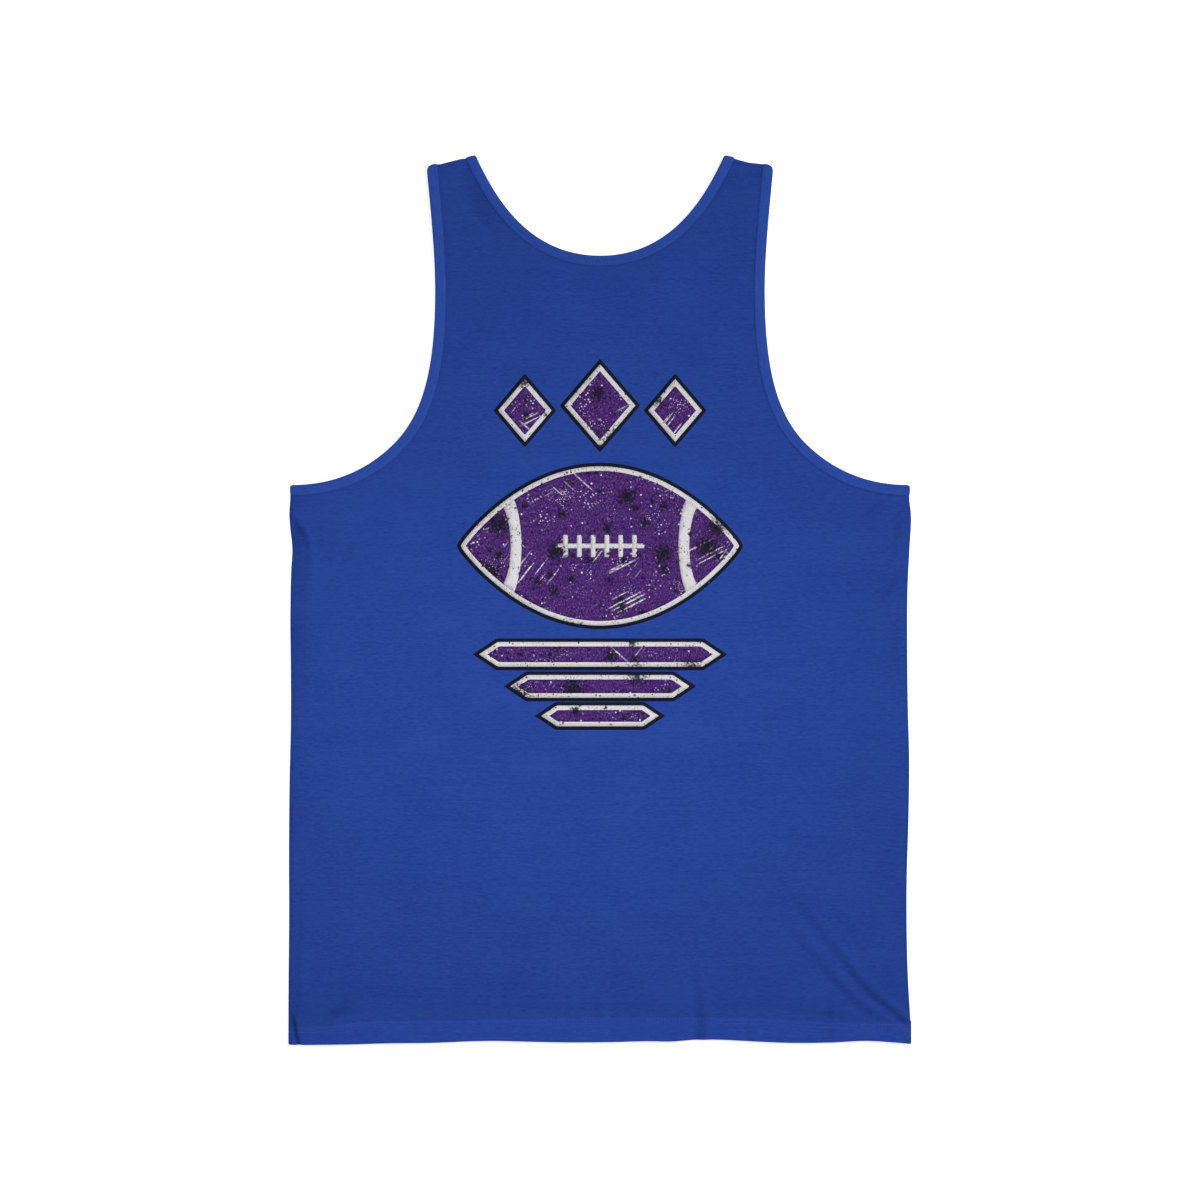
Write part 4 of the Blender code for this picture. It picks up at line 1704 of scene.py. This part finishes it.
@dataclass(frozen=True)
class Patches(Wear):
    """Soft patches: their size in millimetres, share of the surface, edges' softness and seed."""

    size: float
    share: float
    softness: float
    seed: float
    # How strong they are outside themselves.
    least: float = 0.0
    # How far the noise ranges between patches all over and none.
    spread: float = 0.34

    def pattern(self, tree: Tree) -> Socket:
        """Draw the patches.

        Args:
            tree: the material's nodes.

        Returns:
            1 in a patch and the least strength outside.
        """
        level = 0.5 + (0.5 - self.share) * self.spread
        inputs = {
            "Value": Grain(self.size, self.size, 4.0, self.seed).noise(tree),
            "From Min": level - self.softness,
            "From Max": level + self.softness,
            "To Min": self.least,
        }
        return add_node(tree, "ShaderNodeMapRange", inputs)[0]


def dust(share: float) -> tuple[Wear, ...]:
    """Fine chips of two sizes, thick in patches and thin outside them.

    Args:
        share: how common they are.

    Returns:
        The two kinds of chips.
    """
    return tuple(
        Marks((size, size), 0.4, share, seed, within=(Patches(19.0, 0.13, 0.06, seed, 0.07),))
        for size, seed in ((1.5, 17.0), (2.4, 29.0))
    )


def dots(share: float) -> tuple[Wear, ...]:
    """Ragged chips of a millimetre or two, by how common they are."""
    return (Marks((8.0, 8.0), 0.12, share, ragged=0.3),)


def scratches(share: float) -> tuple[Wear, ...]:
    """Bundles of long thin rubs that run three ways, broken here and there.

    Args:
        share: how common they are.

    Returns:
        The rubs of the three ways.
    """
    ways = (((84.0, 3.1), 27.0), ((66.0, 2.9), -42.0), ((52.0, 2.7), 52.0))
    broken = Patches(1.5, 0.7, 0.09, 19.0)
    return tuple(
        Marks(cell, 0.27, share, angle, 0.75, within=(Patches(52.0, 0.24, 0.03, angle), broken))
        for cell, angle in ways
    )


def blots(share: float) -> tuple[Wear, ...]:
    """Ragged dark places of three sizes, where the film stayed thick and took up dirt."""
    kinds = ((7.5, 0.22, 10.0), (19.0, 0.29, 50.0), (43.0, 0.36, 80.0))
    return tuple(Marks((s, s), reach, share, angle, 0.3, 0.8, 0.96) for s, reach, angle in kinds)


def pits(share: float) -> tuple[Wear, ...]:
    """Dark flecks in patches and single pits, by how common the pits are."""
    flecks = Patches(1.3, 0.2, 0.05, 41.0, within=(Patches(17.0, 0.4, 0.08, 37.0),))
    return (flecks, Marks((6.0, 5.0), 0.16, share, 15.0, ragged=0.4))


@dataclass(frozen=True)
class InkFinish:
    """Screen-printed plastisol ink: a thin matt film whose surface has cracked and rubbed.

    Its grain shows the knit under it.
    """

    name: str
    ink: Shade
    # The kinds of wear, in layers, each with the colour that shows there.
    wear: tuple[tuple[tuple[Wear, ...], str], ...]
    knit: Knit = Knit()
    relief: float = 0.03
    # The wales stand out a little through the ink, drawn as upright grain of 1.3 mm by 2.4 mm.
    wales: Grain = Grain(1.3, 2.4, 4.0, 31.0)
    wale_range: tuple[float, float] = (0.32, 0.68)

    def material(self) -> Material:
        """Make the material.

        Returns:
            The material.
        """
        settings = {"Roughness": 0.7, "Specular IOR Level": 0.08}
        made = new_material(self.name, self.ink.light, settings)
        tree = made.node_tree
        low, high = self.wale_range
        inputs = {"Value": self.wales.noise(tree), "From Min": low, "From Max": high}
        colour = self.ink.between(tree, add_node(tree, "ShaderNodeMapRange", inputs)[0])
        for kinds, seen in self.wear:
            worn = 0.0
            for kind in kinds:
                worn = add_node(tree, MATH, (worn, kind.mask(tree)), operation="MAXIMUM")[0]
            inputs = {0: worn, 6: colour, 7: linear(seen)}
            colour = add_node(tree, "ShaderNodeMix", inputs, data_type="RGBA")[2]
        connect(made, {"Base Color": colour, "Normal": self.knit.bump(tree, self.relief)})
        return made


@dataclass(frozen=True)
class ThreadFinish:
    """Spun polyester sewing thread, dyed to match: matt and a little fuzzy."""

    name: str
    colour: str
    # The plies' twist, drawn as grain of 0.25 mm, and how much it darkens and lightens them.
    twist: float = 0.25
    tones: tuple[float, float] = (0.8, 1.2)

    def material(self) -> Material:
        """Make the material.

        Returns:
            The material.
        """
        made = new_material(self.name, self.colour, {"Roughness": 0.7, "Sheen Weight": 0.2})
        tree = made.node_tree
        place = add_node(tree, "ShaderNodeTexCoord")["Object"]
        inputs = {"Vector": place, "Scale": 1 / (self.twist * MM), "Detail": 2.0}
        noise = add_node(tree, "ShaderNodeTexNoise", inputs)["Fac"]
        inputs = {"Value": noise, "To Min": self.tones[0], "To Max": self.tones[1]}
        factor = add_node(tree, "ShaderNodeMapRange", inputs)[0]
        inputs = {0: linear(self.colour)[:3], "Scale": factor}
        colour = add_node(tree, "ShaderNodeVectorMath", inputs, operation="SCALE")[0]
        connect(made, {"Base Color": colour})
        return made


class Ink(Enum):
    """The inks of the print, and how high each one's film lies on the cloth, in millimetres."""

    NAVY = 0.05
    OFF_WHITE = 0.1
    PURPLE = 0.15
    OFF_WHITE_DETAIL = 0.2


# The corners of the print's plain shapes, as shares of half their width and height.
BOX: Table = ((-1, -1), (1, -1), (1, 1), (-1, 1))
LOZENGE: Table = ((-1, 0), (0, -1), (1, 0), (0, 1))


@dataclass(frozen=True)
class Print:
    """A generic sports print on the back: a ball, three lozenges and three bars."""

    centre_y: float = 405.0
    ball_length: float = 218.0
    ball_height: float = 122.0
    # How full the ball's ends are, where a band's two edges lie, as shares of half its length,
    # and how far they bow.
    fullness: float = 0.92
    bands: tuple[float, float] = (0.64, 0.72)
    bow: float = 0.055
    # Half the width and height of the laces' bar and of a stitch, and where the stitches lie.
    lace_bar: tuple[float, float] = (36.0, 1.9)
    lace_stitch: tuple[float, float] = (1.9, 9.0)
    lace_run: float = 28.0
    # Each lozenge's place from the ball's middle, with half its width and height.
    lozenges: Table = ((0, 114.0, 24.0, 28.0), (-61, 110.0, 17.0, 20.0), (61, 110.0, 17.0, 20.0))
    # Each bar's place below the ball's middle, with half its length and height.
    bars: Table = ((88.0, 82.0, 6.4), (114.0, 58.0, 5.6), (138.0, 34.0, 4.8))
    point: float = 1.5
    border: float = 3.6
    keyline: float = 2.9
    film_step: float = 1.6
    film_grid: float = 4.0
    # How deep the films reach into the cloth, so that no gap shows under them.
    film_root: float = 0.15

    def ball_half(self, x: Array) -> Array:
        """Half the ball's height at a distance from its middle."""
        part = np.clip(np.abs(x) / (self.ball_length / 2), 0.0, 1.0)
        return self.ball_height / 2 * (1.0 - part**2) ** self.fullness

    def ball(self) -> Array:
        """Draw the ball.

        Returns:
            Its outline, from its left tip by its lower edge.
        """
        x = self.ball_length / 2 * np.sin(np.linspace(-math.pi / 2, math.pi / 2, 140))
        lower = np.column_stack((x, self.centre_y - self.ball_half(x)))
        upper = np.column_stack((x, self.centre_y + self.ball_half(x)))[::-1]
        return np.vstack((lower, upper[1:-1]))

    def plain(self, corners: Table, x: float, y: float, half: tuple[float, float]) -> Array:
        """A plain shape's outline, from its corners, its middle and half its size."""
        return np.array((x, y)) + np.array(corners) * half

    def bar(self, y: float, half_length: float, half_height: float) -> Array:
        """Draw a bar with both its ends cut to a point.

        Args:
            y: how high its middle lies.
            half_length: half its length without the points.
            half_height: half its height.

        Returns:
            Its outline.
        """
        left, right = np.split(self.plain(BOX, 0.0, y, (half_length, half_height)), (1,))
        tip = np.array((half_length + half_height * self.point, y))
        return np.vstack(((-tip[0], y), left, right[:1], tip, right[1:]))

    def band(self, side: Side) -> Array:
        """Draw a curved band across the ball near one tip.

        Args:
            side: the tip's side.

        Returns:
            The band's outline.
        """
        v = np.linspace(-1.0, 1.0, 40)
        edges = []
        for share in self.bands:
            x = self.ball_length / 2 * (share - self.bow * (1.0 - v**2))
            edges.append(np.column_stack((side.value * x, self.centre_y + v * self.ball_half(x))))
        return np.vstack((edges[0], edges[1][::-1]))

    def grown(self, outline: Array, distance: float) -> Array:
        """Move an outline outwards, square to its edges.

        Args:
            outline: the outline.
            distance: how far to move it.

        Returns:
            The new outline, whose sharpest corners are kept from reaching too far.
        """
        least = 0.45
        run = unit(np.roll(outline, -1, axis=0) - outline)
        out = np.column_stack((run[:, 1], -run[:, 0]))
        middle = unit(out + np.roll(out, 1, axis=0))
        reach = distance / np.maximum((middle * out).sum(axis=1), least)
        return outline + middle * reach[:, None]

    def shapes(self) -> dict[Ink, list[Array]]:
        """Work out the shapes that each ink covers.

        Returns:
            Each ink's outlines.
        """
        y = self.centre_y
        main = [self.ball()]
        main += [self.plain(LOZENGE, x, y + up, tuple(half)) for x, up, *half in self.lozenges]
        main += [self.bar(y - down, *half) for down, *half in self.bars]
        detail = [self.band(side) for side in Side]
        detail.append(self.plain(BOX, 0.0, y, self.lace_bar))
        stitches = np.linspace(-self.lace_run, self.lace_run, 6)
        detail += [self.plain(BOX, x, y, self.lace_stitch) for x in stitches]
        return {
            Ink.NAVY: [self.grown(shape, self.border + self.keyline) for shape in main],
            Ink.OFF_WHITE: [self.grown(shape, self.border) for shape in main],
            Ink.PURPLE: main,
            Ink.OFF_WHITE_DETAIL: detail,
        }

    def film(self, outline: Array, height: float) -> tuple[Array, Array, Array]:
        """Make one closed film of ink on the cloth.

        Args:
            outline: the film's outline.
            height: how high its face lies above the cloth.

        Returns:
            The film's points, triangles, and the place in the cloth of each of their corners.
        """
        edge = evenly(np.vstack((outline, outline[:1])), self.film_step)[:-1]
        grid = hexagonal(edge, self.film_grid)
        if len(grid):
            grid = thinned(edge, grid, self.film_grid * FILM_ROOM)
        flat, faces, _ = filled(edge, grid)
        z = Lie(Layer.BACK).height(*flat.T) + height
        points = np.column_stack((flat, z))
        up = np.tile((0.0, 0.0, 1.0), (len(points), 1))
        return walled(points, faces, up, flat, height + self.film_root)

    def build(self, inks: tuple[Ink, ...], name: str) -> bpy.types.Object:
        """Build the films of one ink.

        Args:
            inks: the ink's entries.
            name: the object's name.

        Returns:
            The object.
        """
        shapes = self.shapes()
        films = [self.film(outline, ink.value) for ink in inks for outline in shapes[ink]]
        points, faces, uv = zip(*films)
        starts = np.cumsum([0] + [len(part) for part in points[:-1]])
        faces = [part + start for part, start in zip(faces, starts)]
        return mesh_object(name, np.vstack(points), np.vstack(faces), np.vstack(uv))


@dataclass(frozen=True)
class Stitching:
    """Rows of lockstitch: short stitches of thread, end to end, half sunk in the cloth."""

    spacing: float = 2.9
    length: float = 2.5
    radius: float = 0.16

    def tree(self) -> Tree:
        """Make the nodes that lay stitches along rows of points.

        Returns:
            The node tree, with the stitches' sizes and material as its inputs.
        """
        tree = bpy.data.node_groups.new("stitch_rows", "GeometryNodeTree")
        face = tree.interface
        face.new_socket("Rows", in_out="INPUT", socket_type="NodeSocketGeometry")
        for name in ("Spacing", "Stitch Length", "Thread Radius"):
            face.new_socket(name, in_out="INPUT", socket_type="NodeSocketFloat")
        face.new_socket("Thread", in_out="INPUT", socket_type="NodeSocketMaterial")
        face.new_socket("Stitches", in_out="OUTPUT", socket_type="NodeSocketGeometry")
        given = add_node(tree, "NodeGroupInput")
        curve = add_node(tree, "GeometryNodeMeshToCurve", {"Mesh": given["Rows"]})[0]
        inputs = {"Curve": curve, "Length": given["Spacing"]}
        places = add_node(tree, "GeometryNodeResampleCurve", inputs, mode="LENGTH")[0]
        inputs = {"Vector": add_node(tree, "GeometryNodeInputTangent")[0]}
        along = add_node(tree, "FunctionNodeAlignRotationToVector", inputs, axis="X")[0]
        settings = {"data_type": "FLOAT_VECTOR"}
        out = add_node(tree, "GeometryNodeInputNamedAttribute", {"Name": "out"}, **settings)[0]
        inputs, settings = {"Rotation": along, "Vector": out}, {"axis": "Z", "pivot_axis": "X"}
        turned = add_node(tree, "FunctionNodeAlignRotationToVector", inputs, **settings)[0]
        half = add_node(tree, MATH, (given["Stitch Length"], 0.5), operation="MULTIPLY")[0]
        inputs = (half, given["Thread Radius"], given["Thread Radius"])
        size = add_node(tree, "ShaderNodeCombineXYZ", inputs)[0]
        inputs = {"Segments": 8, "Rings": 5, "Radius": 1.0}
        ball = add_node(tree, "GeometryNodeMeshUVSphere", inputs)["Mesh"]
        stitch = add_node(tree, "GeometryNodeTransform", {"Geometry": ball, "Scale": size})[0]
        inputs = {"Points": places, "Instance": stitch, "Rotation": turned}
        laid = add_node(tree, "GeometryNodeInstanceOnPoints", inputs)[0]
        real = add_node(tree, "GeometryNodeRealizeInstances", (laid,))[0]
        smooth = add_node(tree, "GeometryNodeSetShadeSmooth", (real,))[0]
        inputs = {"Geometry": smooth, "Material": given["Thread"]}
        dressed = add_node(tree, "GeometryNodeSetMaterial", inputs)[0]
        add_node(tree, "NodeGroupOutput", (dressed,))
        return tree

    def build(
        self, name: str, rows: list[tuple[Array, Array]], thread: Material
    ) -> bpy.types.Object:
        """Lay stitches along rows.

        Args:
            name: the object's name.
            rows: for each row its points and the directions that the cloth looks in there.
            thread: the thread's material.

        Returns:
            The stitches as one mesh object.
        """
        points = to_scene(np.vstack([row for row, _ in rows]))
        edges, first = [], 0
        for row, _ in rows:
            edges += [(i, i + 1) for i in range(first, first + len(row) - 1)]
            first += len(row)
        guide_mesh = bpy.data.meshes.new(f"{name}_rows")
        guide_mesh.from_pydata(points.tolist(), edges, [])
        out = guide_mesh.attributes.new("out", "FLOAT_VECTOR", "POINT")
        out.data.foreach_set("vector", np.vstack([looks for _, looks in rows]).ravel())
        guide = new_object(f"{name}_rows", guide_mesh)
        tree = self.tree()
        modifier = guide.modifiers.new("stitches", "NODES")
        modifier.node_group = tree
        values = {
            "Spacing": self.spacing * MM,
            "Stitch Length": self.length * MM,
            "Thread Radius": self.radius * MM,
            "Thread": thread,
        }
        for item in tree.interface.items_tree:
            if item.item_type == "SOCKET" and item.name in values:
                modifier[item.identifier] = values[item.name]
        graph = bpy.context.evaluated_depsgraph_get()
        mesh = bpy.data.meshes.new_from_object(guide.evaluated_get(graph))
        mesh.name = name
        guide.modifiers.remove(modifier)
        bpy.data.objects.remove(guide)
        return new_object(name, mesh)


# The colours are the cloth's own. The studio's light makes them about 1.17 times as bright.
BINDING_SHADE = Shade("#254195", "#2F4FA3")
ROYAL_JERSEY = JerseyFinish(
    "royal_jersey", Shade("#1D3684", "#274592"), Shade("#203A8E", "#2A499C")
)
BINDING_JERSEY = JerseyFinish("jersey_binding", BINDING_SHADE, BINDING_SHADE)
PURPLE_INK = InkFinish(
    "purple_print",
    Shade("#240B40", "#522879"),
    ((dust(0.46) + dots(0.22) + scratches(0.34), "#CFCBD2"), (blots(0.62), "#0F1219")),
)
WHITE_INK = InkFinish(
    "off_white_print", Shade("#C2C0C2", "#CFCDCF"), ((blots(0.3) + pits(0.4), "#1E1F2B"),)
)
NAVY_INK = InkFinish("navy_print", Shade("#0E1120", "#131629"), ((dots(0.08), "#3A4A80"),))
THREAD = ThreadFinish("sewing_thread", "#223D8A")


def arm_binding(side: Side) -> Binding:
    """The binding of one armhole."""
    name = f"armhole_band_{side.name.lower()}"
    return Binding(name, ARMHOLE_BINDING_WIDTH, (5.0, 1.6), (620.0, 150.0))


@dataclass(frozen=True)
class Tank:
    """The whole garment."""

    neck: Binding = Binding("neck_band", NECK_BINDING_WIDTH, (1.5, 1.5), (705.0, 60.0))
    hem_stitch: Stitching = Stitching()
    binding_stitch: Stitching = Stitching(length=2.4, radius=0.14)
    design: Print = Print()

    def cut_area(self, layer: Layer) -> float:
        """Work out a panel's flat area.

        Args:
            layer: the panel's layer.

        Returns:
            The area in square metres, with the hem's allowance.
        """
        outline = Panel(layer, BACK_GRID).outline()
        x, y = outline.T
        area = abs((x * np.roll(y, -1) - y * np.roll(x, -1)).sum()) / 2
        return (area + (x.max() - x.min()) * HEM_DEPTH) * MM * MM

    def panels(self, finish: Material) -> None:
        """Build the back and the front.

        Args:
            finish: their cloth's material.
        """
        for layer, grid in ((Layer.BACK, BACK_GRID), (Layer.FRONT, FRONT_GRID)):
            piece = Panel(layer, grid).build()
            dress(piece, finish, "royal_jersey", f"{layer.value}_panel")
            # The cut across and along, with the hem's allowance.
            self.cut_area(layer)

    def bindings(self, finish: Material) -> None:
        """Build the three bindings.

        Args:
            finish: their cloth's material.
        """
        back, front = CUTS[Layer.BACK], CUTS[Layer.FRONT]
        folds = (shoulder_outward(Side.LEFT), shoulder_outward(Side.RIGHT))
        made = [(self.neck, back.neck_edge(), front.neck_edge(), folds, "neck_binding")]
        for side in Side:
            folds = (shoulder_outward(side), np.array((side.value, 0.0)))
            edges = (back.armhole_edge(side), front.armhole_edge(side))
            node = f"armhole_binding_{side.name.lower()}"
            made.append((arm_binding(side), *edges, folds, node))
        for ring, upper, lower, folds, node in made:
            piece = ring.build(upper, lower, folds)
            dress(piece, finish, "jersey_binding", node)

    def hem_stitches(self, thread: Material) -> None:
        """Sew the two rows along each panel's hem.

        Args:
            thread: the thread's material.
        """
        rows = []
        for layer in Layer:
            lie = Lie(layer)
            for down in HEM_ROWS:
                x = np.arange(*HEM_RUN, HEM_RUN_STEP)
                y = through(HEM_STITCH, x) - down
                looks = lie.outward(x, y)
                points = np.column_stack((x, y, lie.height(x, y)))
                rows.append((points + looks * HEM_ROW_HEIGHTS[layer], looks))
        dress(self.hem_stitch.build("hem_stitches", rows, thread), thread, "sewing_thread")

    def binding_stitches(self, thread: Material) -> None:
        """Sew the row that holds each binding, near its inner edge.

        Args:
            thread: the thread's material.
        """
        rows = []
        for layer in Layer:
            lie = Lie(layer)
            rise = lie.up * (BINDING_FACE - CLOTH / 2 - BINDING_ROW_SUNK)
            for edge, width in CUTS[layer].bound_edges():
                line = edge.line(width - BINDING_ROW)[1:-1]
                face = lie.spread_height(*line.T) + rise
                looks = np.tile((0.0, 0.0, lie.up), (len(line), 1))
                rows.append((np.column_stack((line, face)), looks))
        piece = self.binding_stitch.build("binding_stitches", rows, thread)
        dress(piece, thread, "sewing_thread")

    def back_print(self) -> None:
        """Print the design on the back."""
        for inks, finish in (
            ((Ink.NAVY,), NAVY_INK),
            ((Ink.OFF_WHITE, Ink.OFF_WHITE_DETAIL), WHITE_INK),
            ((Ink.PURPLE,), PURPLE_INK),
        ):
            piece = self.design.build(inks, f"{finish.name}_film")
            dress(piece, finish.material(), finish.name)

    def build(self) -> None:
        """Build and dress every piece."""
        self.panels(ROYAL_JERSEY.material())
        self.bindings(BINDING_JERSEY.material())
        thread = THREAD.material()
        self.hem_stitches(thread)
        self.binding_stitches(thread)
        self.back_print()


def dress(piece: bpy.types.Object, finish: Material, slot: str, *nodes: str) -> None:
    """Give a piece its finish, hang it under the root body and hide the solids that it stands for.

    Args:
        piece: the piece.
        finish: its material.
        slot: the name of its material slot, which is only logged.
        nodes: the solids that it replaces.
    """
    piece.data.materials.clear()
    piece.data.materials.append(finish)
    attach(piece, "root")
    if nodes:
        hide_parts(*nodes)
    log.info("%s: %d faces, slot %s", piece.name, len(piece.data.polygons), slot)


@dataclass(frozen=True)
class Lamp:
    """A soft light: its place and size in metres, the place it looks at, and its watts."""

    name: str
    place: tuple[float, float, float]
    aim: tuple[float, float]
    size: tuple[float, float]
    power: float

    def hang(self) -> None:
        """Hang the lamp over the floor."""
        data = bpy.data.lights.new(self.name, "AREA")
        data.shape = "RECTANGLE"
        data.size, data.size_y = self.size
        data.energy = self.power
        lamp = new_object(self.name, data)
        lamp.location = self.place
        way = Vector((*self.aim, 0.0)) - lamp.location
        lamp.rotation_euler = way.to_track_quat("-Z", "Y").to_euler()
        lamp.visible_camera = False


@dataclass(frozen=True)
class Studio:
    """A pale floor, soft light and a camera straight above. Sizes are in metres."""

    floor_size: float = 16.0
    # The floor lies just under the garment, so that the two don't share a face.
    floor_z: float = -0.0004
    view_width: float = 0.9753
    camera_place: tuple[float, float, float] = (0.0, 0.0001, 2.5)
    # The height at which the view is as wide as that: the garment's edges.
    focus: float = 0.0023
    # The sensor's width, in millimetres.
    sensor: float = 36.0
    room_light: float = 0.365
    # A far lamp gives the creases their tone, and a low one lightens the garment's middle.
    lamps: tuple[Lamp, ...] = (
        Lamp("key", (3.4, 1.9, 4.5), (0.0, 0.0), (1.8, 1.8), 200.0),
        Lamp("overhead", (-0.05, -0.077, 0.4), (-0.05, -0.077), (0.614, 0.296), 1.06),
    )

    def floor(self) -> None:
        """Lay the floor."""
        half = self.floor_size / 2
        mesh = bpy.data.meshes.new("floor")
        mesh.from_pydata([(x * half, y * half, 0.0) for x, y in BOX], [], [(0, 1, 2, 3)])
        # A light board: it glows a little, so that it stays white out to the picture's corners.
        settings = {
            "Base Color": linear("#F7F7F7"),
            "Roughness": 0.9,
            "Specular IOR Level": 0.0,
            "Emission Color": linear("#FFFFFF"),
            "Emission Strength": 0.6,
        }
        mesh.materials.append(new_material("white_board", "#F7F7F7", settings))
        piece = new_object("floor", mesh)
        piece.location.z = self.floor_z

    def world(self) -> None:
        """Fill the room with even white light."""
        world = bpy.data.worlds.new("studio")
        world.use_nodes = True
        background = world.node_tree.nodes["Background"]
        background.inputs["Color"].default_value = (1.0, 1.0, 1.0, 1.0)
        background.inputs["Strength"].default_value = self.room_light
        bpy.context.scene.world = world

    def camera(self) -> None:
        """Hang the camera over the middle of the garment, looking straight down."""
        data = bpy.data.cameras.new("camera")
        data.sensor_width = self.sensor
        data.lens = self.sensor * (self.camera_place[2] - self.focus) / self.view_width
        camera = new_object("camera", data)
        camera.location = self.camera_place
        bpy.context.scene.camera = camera

    def build(self) -> None:
        """Build the studio."""
        self.floor()
        self.world()
        for lamp in self.lamps:
            lamp.hang()
        self.camera()
        bpy.context.scene.view_settings.view_transform = "Standard"


def main() -> None:
    """Build the garment and the studio."""
    logging.basicConfig(level=logging.INFO, format="%(name)s: %(message)s")
    Tank().build()
    Studio().build()
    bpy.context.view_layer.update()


if __name__ == "__main__":
    main()
